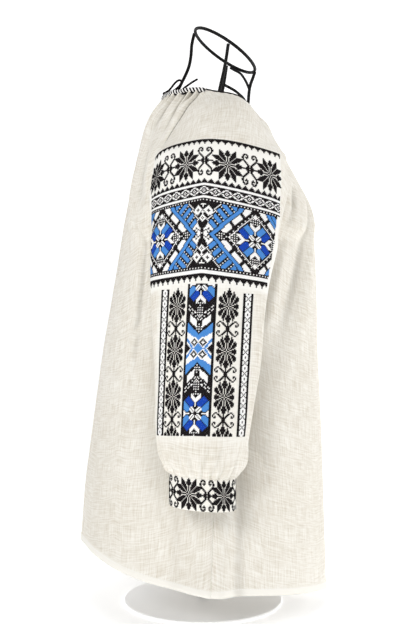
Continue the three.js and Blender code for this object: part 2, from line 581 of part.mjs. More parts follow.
// Each side wire leaves the neck, follows the inside of the sleeve over the shoulder, which it
// carries, and turns in under the arm.
const SHOULDER_COLUMN = 9;
const SHOULDER_SEAT = CLOTH_WALL + SEAM_GAP + WIRE_RADIUS + 0.9;
const shoulder = [1, 2, 3, 4].map((r) => (
  sleeveBase[r][SHOULDER_COLUMN].clone().addScaledVector(sleeveNormals[r][SHOULDER_COLUMN], -SHOULDER_SEAT)));
const sideWire = [
  ...SIDE_NECK_WIRE.map((p) => new THREE.Vector3(p.x, p.lateral, p.z)),
  ...shoulder,
  ...SIDE_ROWS.map((p) => new THREE.Vector3(SIDE_WIRE_X, p.lateral, p.z)),
];
addPiece('right_wire', wire(smooth(mirrored(sideWire)), WIRE_RADIUS, 46, 6), BLACK_WIRE);
addPiece('left_wire', wire(smooth(sideWire), WIRE_RADIUS, 46, 6), BLACK_WIRE);

const halfCollar = COLLAR_WIRE.map((p) => new THREE.Vector3(p.x, p.lateral, p.z));
const collar = [...halfCollar, ...mirrored(halfCollar.slice(0, -1)).reverse()];
addPiece('collar_wire', wire(smooth(collar), COLLAR_WIRE_RADIUS, 20, 6), BLACK_WIRE);
const brace = BRACE_WIRE.map((p) => new THREE.Vector3(p.x, p.lateral, p.z));
addPiece('neck_brace', wire(smooth(brace), COLLAR_WIRE_RADIUS, 10, 6), BLACK_WIRE);

// ---- Pole, spokes and foot ----

const pole = new THREE.CylinderGeometry(POLE.radius, POLE.radius, POLE.top - FOOT.height - SEAM_GAP, 20)
  .rotateX(Math.PI / 2)
  .translate(0, 0, (POLE.top + FOOT.height + SEAM_GAP) / 2);
addPiece('pole', pole, BLACK_WIRE);

const hip = RING_HEIGHTS.hip_ring;
const ringInside = 3 * WIRE_RADIUS + 2 * SEAM_GAP;
const hipSide = tableValue(SIDE_ROWS, hip, 'lateral') - ringInside;
const spokeEnds = [
  { name: 'front_spoke', x: tableValue(TORSO_ROWS, hip, 'front') - ringInside, y: 0 },
  { name: 'back_spoke', x: tableValue(TORSO_ROWS, hip, 'back') + ringInside, y: 0 },
  { name: 'right_spoke', x: SIDE_WIRE_X, y: -hipSide },
  { name: 'left_spoke', x: SIDE_WIRE_X, y: hipSide },
];
for (const end of spokeEnds) {
  const reach = Math.hypot(end.x, end.y);
  const start = POLE.radius + SEAM_GAP;
  const spoke = new THREE.CylinderGeometry(WIRE_RADIUS, WIRE_RADIUS, reach - start, 8)
    .rotateZ(-Math.PI / 2)
    .translate((reach + start) / 2, 0, 0)
    .rotateZ(Math.atan2(end.y, end.x))
    .translate(0, 0, hip);
  addPiece(end.name, spoke, BLACK_WIRE);
}

const foot = new THREE.CylinderGeometry(FOOT.radius, FOOT.radius, FOOT.height, 48)
  .rotateX(Math.PI / 2)
  .translate(0, 0, FOOT.height / 2);
addPiece('foot', foot, PALE_FOOT);

export default group;
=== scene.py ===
"""Romanian blouse on a wire dress form: the finish of every piece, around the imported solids.

Lengths in the classes are millimetres in the part's own frame, with +Z up, +X the wearer's front
and +Y the wearer's left. They turn to metres where a mesh is made.
"""

import logging
import math
from collections.abc import Callable, Sequence
from dataclasses import dataclass
from enum import Enum

import bpy
import numpy as np
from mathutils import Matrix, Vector, kdtree


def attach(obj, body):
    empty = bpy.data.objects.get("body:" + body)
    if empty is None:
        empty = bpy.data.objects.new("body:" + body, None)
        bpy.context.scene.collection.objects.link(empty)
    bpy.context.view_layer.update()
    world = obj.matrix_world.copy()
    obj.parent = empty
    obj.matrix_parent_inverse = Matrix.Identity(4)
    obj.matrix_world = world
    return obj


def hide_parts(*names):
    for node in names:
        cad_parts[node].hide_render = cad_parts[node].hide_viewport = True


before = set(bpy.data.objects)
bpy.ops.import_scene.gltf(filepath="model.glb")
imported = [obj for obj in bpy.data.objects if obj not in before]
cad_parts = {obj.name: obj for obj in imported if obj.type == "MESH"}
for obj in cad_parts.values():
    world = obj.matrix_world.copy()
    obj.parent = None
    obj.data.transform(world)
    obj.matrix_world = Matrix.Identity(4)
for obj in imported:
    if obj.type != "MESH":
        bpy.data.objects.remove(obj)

logging.basicConfig(level=logging.INFO, format="%(levelname)s %(message)s")
LOG = logging.getLogger("blouse")

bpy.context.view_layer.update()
MM = 0.001
SEED = 7
BODY = "root"

Array = np.ndarray
Piece = bpy.types.Object
Material = bpy.types.Material
Socket = bpy.types.NodeSocket
Point = tuple[float, float, float]
Solid = tuple[Array, list[tuple[int, ...]]]
Stitches = tuple[Array, Array, Array, Array]


class Side(Enum):
    """The wearer's right or left, as the sign of Y."""

    RIGHT = -1
    LEFT = 1

    @property
    def word(self) -> str:
        """The side's name as the nodes spell it."""
        return self.name.lower()

    @property
    def turn(self) -> Array:
        """Factors that take a point of the left side to this one, and back."""
        return np.array([1.0, self.value, 1.0])


class Thread(Enum):
    """The threads that a chart calls for, by the letter that stands for each."""

    BLACK = "k"
    SKY = "s"
    BLUE = "b"
    WHITE = "w"


MIRROR = Side.RIGHT.turn


# ---- Small tools for meshes, curves and node trees ----


def smoothstep(value: Array | float, low: float, high: float) -> Array | float:
    """Rises softly from 0 at low to 1 at high."""
    share = np.clip((value - low) / (high - low), 0.0, 1.0)
    return share * share * (3.0 - 2.0 * share)


def unit(vectors: Array) -> Array:
    """Vectors along the last axis, scaled to length 1."""
    length = np.linalg.norm(vectors, axis=-1, keepdims=True)
    return vectors / np.maximum(length, 1e-9)


def runs(points: Array) -> Array:
    """Length of a line from its first point to each one."""
    return np.concatenate([[0.0], np.cumsum(np.linalg.norm(np.diff(points, axis=0), axis=1))])


def along_line(places: Array, lengths: Array, rows: Array) -> Array:
    """Rows of three numbers at places along a line, from the rows at its own lengths."""
    return np.stack([np.interp(places, lengths, rows[:, k]) for k in range(3)], axis=1)


def monotone_curve(knots: Array, samples: Array) -> Array:
    """Smooth curve through rows of numbers that never swings past them.

    Args:
        knots: One row of numbers for each whole step, as an array of rows by anything.
        samples: Places along the rows, from 0 to the last row's number.

    Returns:
        The numbers at each sample.
    """
    steps = np.diff(knots, axis=0)
    slopes = np.zeros_like(knots)
    before, after = steps[:-1], steps[1:]
    with np.errstate(divide="ignore", invalid="ignore"):
        slopes[1:-1] = np.where(before * after > 0, 2 * before * after / (before + after), 0.0)
    slopes[0], slopes[-1] = steps[0], steps[-1]
    lower = np.clip(np.floor(samples).astype(int), 0, len(knots) - 2)
    share = (samples - lower).reshape((-1,) + (1,) * (knots.ndim - 1))
    p0, p1, m0, m1 = knots[lower], knots[lower + 1], slopes[lower], slopes[lower + 1]
    s2, s3 = share**2, share**3
    return ((2 * s3 - 3 * s2 + 1) * p0 + (s3 - 2 * s2 + share) * m0
            + (3 * s2 - 2 * s3) * p1 + (s3 - s2) * m1)


def rounded_path(points: Sequence[Sequence[float]], count: int, closed: bool = False) -> Array:
    """Even points on a smooth curve through a few chosen ones.

    Args:
        points: The chosen points.
        count: How many points to return.
        closed: Whether the curve returns to its start, which is then left out.

    Returns:
        An array of count points.
    """
    knots = np.array(points, dtype=float)
    if closed:
        knots = np.vstack([knots[-1:], knots, knots[:2]])
    else:
        knots = np.vstack([2 * knots[0] - knots[1], knots, 2 * knots[-1] - knots[-2]])
    gaps = np.sqrt(np.linalg.norm(np.diff(knots, axis=0), axis=1))
    times = np.concatenate([[0.0], np.cumsum(np.maximum(gaps, 1e-6))])
    dense = []
    for i in range(1, len(knots) - 2):
        t = np.linspace(times[i], times[i + 1], 24, endpoint=False)[:, None]
        t0, t1, t2, t3 = times[i - 1 : i + 3]
        p0, p1, p2, p3 = knots[i - 1 : i + 3]
        a1 = (t1 - t) / (t1 - t0) * p0 + (t - t0) / (t1 - t0) * p1
        a2 = (t2 - t) / (t2 - t1) * p1 + (t - t1) / (t2 - t1) * p2
        a3 = (t3 - t) / (t3 - t2) * p2 + (t - t2) / (t3 - t2) * p3
        b1 = (t2 - t) / (t2 - t0) * a1 + (t - t0) / (t2 - t0) * a2
        b2 = (t3 - t) / (t3 - t1) * a2 + (t - t1) / (t3 - t1) * a3
        dense.append((t2 - t) / (t2 - t1) * b1 + (t - t1) / (t2 - t1) * b2)
    line = np.vstack([*dense, knots[1:2] if closed else knots[-2:-1]])
    lengths = runs(line)
    return along_line(np.linspace(0.0, lengths[-1], count, endpoint=not closed), lengths, line)


def link_object(name: str, data: bpy.types.ID) -> Piece:
    """An object in the scene for this mesh, light or camera."""
    obj = bpy.data.objects.new(name, data)
    bpy.context.scene.collection.objects.link(obj)
    return obj


def make_object(name: str, vertices: Array, faces: Sequence[Sequence[int]]) -> Piece:
    """Makes a smooth-shaded mesh object at the origin.

    Args:
        name: The object's name.
        vertices: Points in millimetres.
        faces: Corners of each face, pointing outwards.

    Returns:
        The linked object.
    """
    mesh = bpy.data.meshes.new(name)
    mesh.from_pydata((np.asarray(vertices) * MM).tolist(), [], [list(face) for face in faces])
    mesh.polygons.foreach_set("use_smooth", [True] * len(mesh.polygons))
    mesh.update()
    return link_object(name, mesh)


def add_numbers(obj: Piece, name: str, values: Array) -> None:
    """Stores one number or vector for each vertex under a name that materials and node trees read.

    Args:
        obj: The mesh object.
        name: The name that they read.
        values: The numbers, one row for each vertex.
    """
    kind, key = ("FLOAT", "value") if values.ndim == 1 else ("FLOAT_VECTOR", "vector")
    attribute = obj.data.attributes.new(name, kind, "POINT")
    attribute.data.foreach_set(key, values.astype(float).ravel())


def add_to_both_faces(obj: Piece, name: str, values: Array) -> None:
    """Stores the grid's numbers for a cloth's outer and inner face. The slit's twin edge gets none.

    Args:
        obj: Cloth made from a grid.
        name: The name that materials read.
        values: One number for each point of the grid.
    """
    both = np.zeros((2, len(obj.data.vertices) // 2))
    both[:, : values.size] = values.ravel()
    add_numbers(obj, name, both.ravel())


def add_uv(obj: Piece, places: Array) -> None:
    """Gives the mesh a UV map whose units are metres of cloth.

    Args:
        obj: The mesh object.
        places: Its places on the cloth in millimetres, one row for each vertex.
    """
    corners = np.empty(len(obj.data.loops), dtype=int)
    obj.data.loops.foreach_get("vertex_index", corners)
    layer = obj.data.uv_layers.new(name="UVMap")
    layer.data.foreach_set("uv", (places[corners] * MM).ravel())


def ring_faces(rings: int, around: int, wraps: bool = False) -> list[tuple[int, ...]]:
    """Faces between rings of points, with flat ends unless the last ring meets the first.

    Args:
        rings: How many rings there are.
        around: How many points each has.
        wraps: Whether the last ring meets the first.

    Returns:
        The corners of each face.
    """
    faces = []
    for ring in range(rings if wraps else rings - 1):
        here, there = ring * around, (ring + 1) % rings * around
        for step in range(around):
            after = (step + 1) % around
            faces.append((here + step, here + after, there + after, there + step))
    if not wraps:
        last = (rings - 1) * around
        faces += [tuple(range(around - 1, -1, -1)), tuple(range(last, last + around))]
    return faces


def linear_colour(hex_code: str, gain: float = 1.0, lift: float = 0.0) -> tuple[float, ...]:
    """An sRGB hex colour as the linear values that a shader takes.

    Args:
        hex_code: The colour, such as #ffffff.
        gain: Factor that makes it lighter or darker.
        lift: What is added to it after that.

    Returns:
        Red, green, blue and an alpha of 1.
    """
    channels = [int(hex_code[i : i + 2], 16) / 255 for i in (1, 3, 5)]
    linear = [c / 12.92 if c <= 0.04045 else ((c + 0.055) / 1.055) ** 2.4 for c in channels]
    return (*(min(1.0, c * gain + lift) for c in linear), 1.0)


def add_node(tree: bpy.types.NodeTree, kind: str, settings: dict | None = None, **inputs: object
             ) -> bpy.types.Node:
    """Adds one node with its settings and links.

    Args:
        tree: The node tree.
        kind: The node's type name.
        settings: Values of the node's own properties.
        **inputs: Values or output sockets by the input's name, with _ for a space, or i and its number.

    Returns:
        The new node.
    """
    node = tree.nodes.new(kind)
    for name, value in (settings or {}).items():
        setattr(node, name, value)
    for name, value in inputs.items():
        is_number = name[0] == "i" and name[1:].isdigit()
        socket = node.inputs[int(name[1:])] if is_number else node.inputs[name.replace("_", " ")]
        if isinstance(value, Socket):
            tree.links.new(value, socket)
        else:
            socket.default_value = value
    return node


# ---- Finishes ----


class Surface:
    """A material that is being put together, on object coordinates."""

    def __init__(self, name: str) -> None:
        """Starts an empty material.

        Args:
            name: The material's name.
        """
        self.material = bpy.data.materials.new(name)
        self.material.use_nodes = True
        self.tree = self.material.node_tree
        self.tree.nodes.clear()
        self.places = add_node(self.tree, "ShaderNodeTexCoord").outputs

    def uneven_colour(self, first: tuple, second: tuple, scale: float, detail: float = 2.0) -> Socket:
        """A colour that drifts between two in soft patches.

        Args:
            first: The one colour.
            second: The other.
            scale: Patches to the metre.
            detail: How broken their edges are.

        Returns:
            The colour's socket.
        """
        patch = add_node(self.tree, "ShaderNodeTexNoise", Vector=self.places["Object"], Scale=scale,
                         Detail=detail)
        return add_node(self.tree, "ShaderNodeMix", {"data_type": "RGBA"}, Factor=patch.outputs["Fac"],
                        i6=first, i7=second).outputs[2]

    def grained(self, scale: float, strength: float, depth: float, detail: float = 2.0) -> Socket:
        """The surface's direction under fine grains.

        Args:
            scale: Grains to the metre.
            strength: How clearly they show.
            depth: Their height in millimetres.
            detail: How broken they are.

        Returns:
            The direction's socket.
        """
        grain = add_node(self.tree, "ShaderNodeTexNoise", Vector=self.places["Object"], Scale=scale,
                         Detail=detail)
        return add_node(self.tree, "ShaderNodeBump", Height=grain.outputs["Fac"], Strength=strength,
                        Distance=depth * MM).outputs[0]

    def done(self, **inputs: object) -> Material:
        """The material, once its surface shader has these inputs."""
        shader = add_node(self.tree, "ShaderNodeBsdfPrincipled", **inputs)
        add_node(self.tree, "ShaderNodeOutputMaterial", Surface=shader.outputs[0])
        return self.material


@dataclass(frozen=True)
class WovenLinen:
    """Plain-woven off-white linen: slubbed threads both ways that break up its soft, dull light."""

    thread: str = "#faf7ef"
    shade: str = "#dbd3c3"
    ground: str = "#fcfaf4"
    double: str = "#fbf8f0"
    # Painted shade colour: grooves, creases and cloth under other cloth are darkened towards it.
    groove: str = "#8f887b"
    slub: float = 1.7
    slub_length: float = 16.0

    def make(self) -> Material:
        """The linen material.

        It reads the UV map, whose units are metres of cloth. Real threads lie 0.5 mm apart; the
        slubs are drawn 1.7 mm wide so that they show. The attribute ground is 1 where the cloth
        under the embroidery is whiter, and double is 1 where it is folded double and less clear.
        A third attribute paints shade: 1 down in the groove of a seam, less in a crease and under
        other cloth, where little light comes; there the colour is darkened towards the shade colour.
        """
        surface = Surface("woven linen")
        tree = surface.tree
        streaks = []
        for along, across in ((1.0, self.slub_length), (self.slub_length, 1.0)):
            scale = (1 / (self.slub * MM * along), 1 / (self.slub * MM * across), 1.0)
            mapped = add_node(tree, "ShaderNodeMapping", Vector=surface.places["UV"], Scale=scale)
            noise = add_node(tree, "ShaderNodeTexNoise", Vector=mapped.outputs[0], Scale=1.0, Detail=4.0,
                             Roughness=0.62)
            streaks.append(noise.outputs["Fac"])
        weave = add_node(tree, "ShaderNodeMath", {"operation": "ADD"}, i0=streaks[0], i1=streaks[1])
        mottle = add_node(tree, "ShaderNodeTexNoise", Vector=surface.places["Object"], Scale=9.0, Detail=2.0)
        mixed = add_node(tree, "ShaderNodeMath", {"operation": "MULTIPLY_ADD"}, i0=mottle.outputs["Fac"],
                         i1=0.3, i2=weave.outputs[0])
        share = add_node(tree, "ShaderNodeMapRange", Value=mixed.outputs[0], i1=0.88, i2=1.36)
        cloth = add_node(tree, "ShaderNodeMix", {"data_type": "RGBA"}, Factor=share.outputs[0],
                         i6=linear_colour(self.shade), i7=linear_colour(self.thread))
        # The last attribute mixes in painted shade.
        for name, tone in (("ground", self.ground), ("double", self.double), ("hollow", self.groove)):
            found = add_node(tree, "ShaderNodeAttribute", {"attribute_name": name})
            cloth = add_node(tree, "ShaderNodeMix", {"data_type": "RGBA"}, Factor=found.outputs["Fac"],
                             i6=cloth.outputs[2], i7=linear_colour(tone))
        threads = add_node(tree, "ShaderNodeBump", Height=weave.outputs[0], Strength=0.22, Distance=0.35 * MM)
        return surface.done(Base_Color=cloth.outputs[2], Roughness=0.9, Normal=threads.outputs[0],
                            Sheen_Weight=0.12, Sheen_Roughness=0.5, Specular_IOR_Level=0.25)


@dataclass(frozen=True)
class StrandedCotton:
    """Stranded embroidery cotton: short satin-like fibres that catch a little light along each stitch."""

    name: str
    colour: str
    roughness: float = 0.72
    fibre: float = 0.3

    def make(self) -> Material:
        """The cotton material, with its fibres as fine relief and a slight change of tone."""
        surface = Surface(self.name)
        lighter = linear_colour(self.colour, 1.15, 0.002)
        colour = surface.uneven_colour(linear_colour(self.colour), lighter, 60.0)
        return surface.done(Base_Color=colour, Roughness=self.roughness, Specular_IOR_Level=0.12,
                            Normal=surface.grained(1 / (self.fibre * MM), 0.3, 0.1))


@dataclass(frozen=True)
class EnamelledWire:
    """Drawn steel wire dipped in black enamel: a soft gloss with dull patches where it was handled."""

    colour: str = "#040404"
    worn: str = "#111112"

    def make(self) -> Material:
        """The wire's material, with wear patches about 20 mm long and a fine orange-peel relief."""
        surface = Surface("black enamelled wire")
        tree = surface.tree
        patch = add_node(tree, "ShaderNodeTexNoise", Vector=surface.places["Object"], Scale=50.0, Detail=4.0)
        worn = add_node(tree, "ShaderNodeMapRange", Value=patch.outputs["Fac"], i1=0.56, i2=0.72)
        colour = add_node(tree, "ShaderNodeMix", {"data_type": "RGBA"}, Factor=worn.outputs[0],
                          i6=linear_colour(self.colour), i7=linear_colour(self.worn))
        dull = add_node(tree, "ShaderNodeMapRange", Value=patch.outputs["Fac"], i3=0.45, i4=0.65)
        return surface.done(Base_Color=colour.outputs[2], Roughness=dull.outputs[0],
                            Normal=surface.grained(700.0, 0.15, 0.05), Specular_IOR_Level=0.2)


@dataclass(frozen=True)
class PowderCoat:
    """Pale powder coat on steel plate: an even satin with a fine pebbled skin, and a faint glow of painted
    light.
    """

    colour: str = "#ffffff"
    # Painted light: how strongly the foot glows, though it is no lamp.
    glow: float = 0.22
    pebble: float = 0.8

    def make(self) -> Material:
        """The foot's material, whose faint glow is painted light that lifts it out of the blouse's shadow."""
        surface = Surface("pale powder coat")
        pale = linear_colour(self.colour)
        colour = surface.uneven_colour(linear_colour(self.colour, 0.93), pale, 14.0, 3.0)
        return surface.done(Base_Color=colour, Roughness=0.45,
                            Normal=surface.grained(1 / (self.pebble * MM), 0.25, 0.08, 3.0),
                            Emission_Color=(1.0, 1.0, 1.0, 1.0), Emission_Strength=self.glow)


@dataclass(frozen=True)
class StudioPaper:
    """Seamless white studio paper, lit from behind so that it stays pure white."""

    colour: str = "#fdfdfd"
    glow: float = 0.5

    def make(self) -> Material:
        """The paper's material, with a faint grain."""
        surface = Surface("studio paper")
        colour = surface.uneven_colour(linear_colour(self.colour, 0.985), linear_colour(self.colour), 30.0)
        return surface.done(Base_Color=colour, Roughness=0.95, Specular_IOR_Level=0.1,
                            Emission_Color=(1.0, 1.0, 1.0, 1.0), Emission_Strength=self.glow)


@dataclass(frozen=True)
class Finishes:
    """Every material of the scene, made once."""

    linen: Material
    wire: Material
    foot: Material
    paper: Material
    threads: dict[Thread, Material]

    @classmethod
    def make(cls) -> "Finishes":
        """Makes all materials."""
        threads = {
            Thread.BLACK: StrandedCotton("black stranded cotton", "#1c1819", 0.85),
            Thread.SKY: StrandedCotton("light blue stranded cotton", "#4f8fd6"),
            Thread.BLUE: StrandedCotton("dark blue stranded cotton", "#1a48b2"),
            Thread.WHITE: StrandedCotton("white stranded cotton", "#fffdf9", 0.8),
        }
        return cls(WovenLinen().make(), EnamelledWire().make(), PowderCoat().make(), StudioPaper().make(),
                   {thread: cotton.make() for thread, cotton in threads.items()})


def settle(obj: Piece, material: Material, slot: str, *nodes: str) -> Piece:
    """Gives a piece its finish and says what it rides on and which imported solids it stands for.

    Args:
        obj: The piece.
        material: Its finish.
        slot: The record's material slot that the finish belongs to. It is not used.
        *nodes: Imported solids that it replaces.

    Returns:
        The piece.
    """
    obj.data.materials.clear()
    obj.data.materials.append(material)
    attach(obj, BODY)
    if nodes:
        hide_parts(*nodes)
    LOG.info("%s: %d faces", obj.name, len(obj.data.polygons))
    return obj


# ---- Cut and drape of the cloth ----


@dataclass(frozen=True)
class RaglanRow:
    """One level of the raglan seams: both seam points as (x, lateral, z), and the arc between them.

    Attributes:
        back: The back seam's point.
        front: The front seam's point.
        crown: Height of the sleeve's outermost line.
        half: Half width of the arc.
        bulge: Its height over the chord.
        wraps: Whether the arc turns past a half turn.
        back_turn: Degrees that the back panel turns through from its middle to the seam.
        front_turn: The same for the front panel.
    """

    back: Point
    front: Point
    crown: float
    half: float
    bulge: float
    wraps: bool
    back_turn: float
    front_turn: float


@dataclass(frozen=True)
class TubeRow:
    """One level of the sleeve below the arm: an oval whose inner side faces the body."""

    z: float
    x: float
    half: float
    inner: float
    outer: float
    slope: float = 0.0


@dataclass(frozen=True)
class Fold:
    """One crease: a soft ridge, or a trough where depth is negative.

    Attributes:
        across: Its place between the seams at its top, from -1 to 1.
        spread: Its half width on that scale.
        depth: How far it stands out, in millimetres.
        top: Height where it starts.
        bottom: Height where it ends.
        lean: How far across it moves on the way down.
        runs_out: Whether it runs out over the lower edge instead of dying away.
    """

    across: float
    spread: float
    depth: float
    top: float
    bottom: float
    lean: float = 0.0
    runs_out: bool = False

    def height(self, across: Array, z: Array) -> Array:
        """How far the crease stands out at each place of the cloth.

        Args:
            across: Places between the seams.
            z: Their heights.

        Returns:
            A height over the cloth for each place.
        """
        along = np.clip((self.top - z) / (self.top - self.bottom), 0.0, 1.0)
        window = smoothstep(along, 0.0, 0.6) if self.runs_out else np.sin(math.pi * along) ** 1.4
        centre = self.across + self.lean * along
        width = self.spread * (0.75 + 0.5 * along)
        return self.depth * window * np.exp(-(((across - centre) / width) ** 2))


@dataclass(frozen=True)
class Gathers:
    """Small uneven pleats where cloth is drawn up on an edge.

    Attributes:
        count: How many ridges the edge has.
        depth: Height of a ridge at the edge, in millimetres.
        reach: How far a long ridge runs from the edge, in millimetres.
        seed: Start of its random numbers.
    """

    count: int
    depth: float
    reach: float
    seed: int

    def height(self, across: Array, distance: Array) -> Array:
        """How far the pleats stand out at each place of the cloth.

        Args:
            across: Places between the seams.
            distance: Their distances to the gathered edge.

        Returns:
            A height over the cloth for each place.
        """
        random = np.random.default_rng(self.seed)
        total = np.zeros_like(across)
        pitch = 2.0 / self.count
        for i in range(self.count):
            centre = -1.0 + pitch * (i + 0.5 + random.uniform(-0.22, 0.22))
            length = self.reach * random.uniform(0.4, 1.0) ** 1.3
            depth = self.depth * random.uniform(0.65, 1.15)
            drift = pitch * random.uniform(-1.4, 1.4)
            share = np.clip(distance / max(length, 1.0), 0.0, 1.0)
            width = pitch * (0.27 + 0.4 * share)
            window = (1.0 - share) * (1.0 + 0.6 * share)
            offset = across - centre - drift * share
            total += depth * window * np.exp(-((offset / width) ** 2))
            groove = offset - pitch * (0.5 + 0.2 * share)
            total -= 0.6 * depth * window * np.exp(-((groove / (0.45 * width)) ** 2))
        return total - self.depth * 0.45 * np.clip(1.0 - distance / (0.5 * self.reach), 0.0, 1.0)


@dataclass(frozen=True)
class Measurements:
    """The blouse's own sizes in millimetres, shared by all of its pieces, and its shades from 0 to 1."""

    underarm: float = 494.0
    cuff_x: float = 0.5
    cuff_lateral: float = 210.5
    cuff_half_width: float = 39.5
    cuff_half_depth: float = 27.5
    cuff_top: float = 211.0
    cuff_height: float = 38.0
    cuff_slope: float = -0.08
    cuff_wall: float = 2.4
    slit_length: float = 175.0
    slit_width: float = 1.2
    cloth: float = 0.8
    hem_band: float = 9.0
    seam_dip: float = 0.9
    seam_reach: float = 2.6
    # The painted shade: its reach beside a seam and under other cloth, and its strengths.
    seam_groove: float = 1.1
    cover_reach: float = 62.0
    groove_shade: float = 0.85
    fine_shade: float = 0.34
    wide_shade: float = 0.26
    cover_shade: float = 0.55
    flare_spread: float = 11.0


SIZES = Measurements()

RAGLAN_ROWS = (
    RaglanRow((-2.4, 66.6, 702), (61.5, 34, 690), 698, 62, 12.5, False, 84, 26),
    RaglanRow((-9, 72, 691), (66.5, 41, 678), 688, 48, 33, False, 78, 30),
    RaglanRow((-19, 82, 678), (73.5, 52, 663), 675, 54, 50, False, 72, 36),
    RaglanRow((-27, 92, 663), (80, 65, 650), 658, 60, 60, False, 66, 42),
    RaglanRow((-37, 103, 645), (88, 79, 637), 638, 67, 66, False, 61, 48),
    RaglanRow((-46, 112, 628), (95.5, 92, 626), 617, 74, 71, False, 58, 54),
    RaglanRow((-54, 120, 608), (98, 104, 606), 594, 83, 73, True, 56, 60),
    RaglanRow((-58, 128, 576), (101, 118, 576), 564, 85, 72, True, 56, 66),
    RaglanRow((-55, 136, 545), (91, 131, 545), 532, 83, 70, True, 64, 74),
    RaglanRow((-36, 143, 518), (70, 142, 517), 508, 79.5, 67, True, 76, 82),
)

TUBE_ROWS = (
    TubeRow(490, 15, 77.5, 150.8, 213.5),
    TubeRow(445, 10, 72.5, 157, 221),
    TubeRow(405, 7.5, 68.5, 163, 227),
    TubeRow(355, 6.7, 65, 169, 232.5),
    TubeRow(305, 4.2, 60.5, 173, 236.5),
    TubeRow(265, 1.5, 56.5, 176, 239, -0.03),
    TubeRow(240, 0.5, 52.5, 178.5, 240.5, -0.05),
    TubeRow(224, 0.5, 47.5, 180.5, 240.5, -0.07),
    TubeRow(211.4, 0.5, 39.3, 183.2, 237.8, -0.08),
    TubeRow(207, 0.5, 37.6, 184.8, 236.2, -0.08),
)

# Heights of each level of the panels at the middle of the front, the middle of the back and the side.
PANEL_LEVELS = (
    (688, 703, None), (678, 692, None), (665, 679, None), (652, 664, None), (638, 646, None),
    (624, 628, None), (605, 608, None), (577, 577, None), (547, 547, None), (520, 521, None),
    (497, 497, 494), (455, 455, 455), (403, 406, 405), (350, 357, 355), (297, 309, 305),
    (244, 260, 255), (188, 211, 205), (130, 165, 155), (74, 125, 110), (19, 87, 56),
)

# Outlines as (height, x), and the side seam as (height, x, lateral, flare).
FRONT_OUTLINE = (
    (688, 70), (678, 79), (664, 92), (642, 102), (619, 112.5), (597, 124.5), (574, 137.5), (551, 147),
    (529, 152.5), (506, 155.5), (439, 159), (349, 160.5), (259, 165), (168, 168), (16, 173),
)
BACK_OUTLINE = (
    (703, -55), (687, -64), (664, -75), (642, -83.5), (619, -90), (597, -95.5), (574, -101), (551, -105.5),
    (529, -110), (506, -114), (439, -125), (349, -141), (259, -153.5), (168, -166), (87, -173),
)
SIDE_OUTLINE = (
    (494, 15, 149.2, 0), (405, 14, 154, 0), (305, 14, 161, 0), (205, 15, 167, 2), (110, 12, 172, 7),
    (65, 10, 174, 10),
)


def outline_value(rows: Sequence[Sequence[float]], height: float, column: int) -> float:
    """Value of an outline at a height.

    Args:
        rows: The outline, from the top down, with the height first in each row.
        height: The height.
        column: Which number of a row to read.

    Returns:
        The number, read between the two nearest rows.
    """
    table = np.array(rows[::-1], dtype=float)
    return float(np.interp(height, table[:, 0], table[:, column]))


def grid_normals(points: Array, sign: float) -> Array:
    """Outward normals of a grid of points, from the neighbours of each."""
    return unit(np.cross(np.gradient(points, axis=0), np.gradient(points, axis=1))) * sign


def run_lengths(points: Array, axis: int) -> Array:
    """Length of cloth along one axis of a grid, from its first row or column."""
    steps = np.linalg.norm(np.diff(points, axis=axis), axis=2)
    return np.cumsum(np.pad(steps, ((1 - axis, 0), (axis, 0))), axis=axis)


def row_places(heights: Sequence[float], pitch: float) -> Array:
    """Places along a table of rows such that each step is about one pitch of height.

    Args:
        heights: The rows' heights.
        pitch: The step.

    Returns:
        Places from 0 to the last row's number.
    """
    places = []
    for i, (above, below) in enumerate(zip(heights, heights[1:])):
        count = max(2, round(abs(above - below) / pitch))
        places.extend(i + np.arange(count) / count)
    return np.array([*places, len(heights) - 1.0])


@dataclass
class ClothGrid:
    """A grid of cloth points with its outward normals.

    Attributes:
        points: Outer surface, rows by columns by 3.
        normals: Outward normals.
        across: Place of each column between the seams, from -1 to 1.
    """

    points: Array
    normals: Array
    across: Array

    @classmethod
    def over(cls, points: Array, facing: float, across: Array) -> "ClothGrid":
        """Cloth over a grid of points. Facing is 1 or -1, the sign that turns its normals outwards."""
        return cls(points, grid_normals(points, facing), across)

    @property
    def middle(self) -> int:
        """The middle column."""
        return self.points.shape[1] // 2

    def lengths(self) -> Array:
        """Cloth lengths across from the middle and down from the top, as UV places in millimetres."""
        sideways = run_lengths(self.points, 1)
        sideways = sideways - sideways[:, self.middle][:, None]
        return np.stack([sideways, -run_lengths(self.points, 0)], axis=2)

    def to_hem(self) -> Array:
        """Length of cloth from each point down to the lower edge."""
        down = run_lengths(self.points, 0)
        return down[-1:] - down

    def to_seam(self) -> Array:
        """Length of cloth from each point to the nearer seam."""
        sideways = run_lengths(self.points, 1)
        return np.minimum(sideways, sideways[:, -1:] - sideways)

    def raised(self, relief: Array, facing: float) -> "ClothGrid":
        """The same cloth with its folds standing out from it by the heights of a relief."""
        return ClothGrid.over(self.points + self.normals * relief[..., None], facing, self.across)

    def mirrored(self) -> "ClothGrid":
        """The same cloth on the other side of the body."""
        return ClothGrid(self.points * MIRROR, self.normals * MIRROR, self.across)


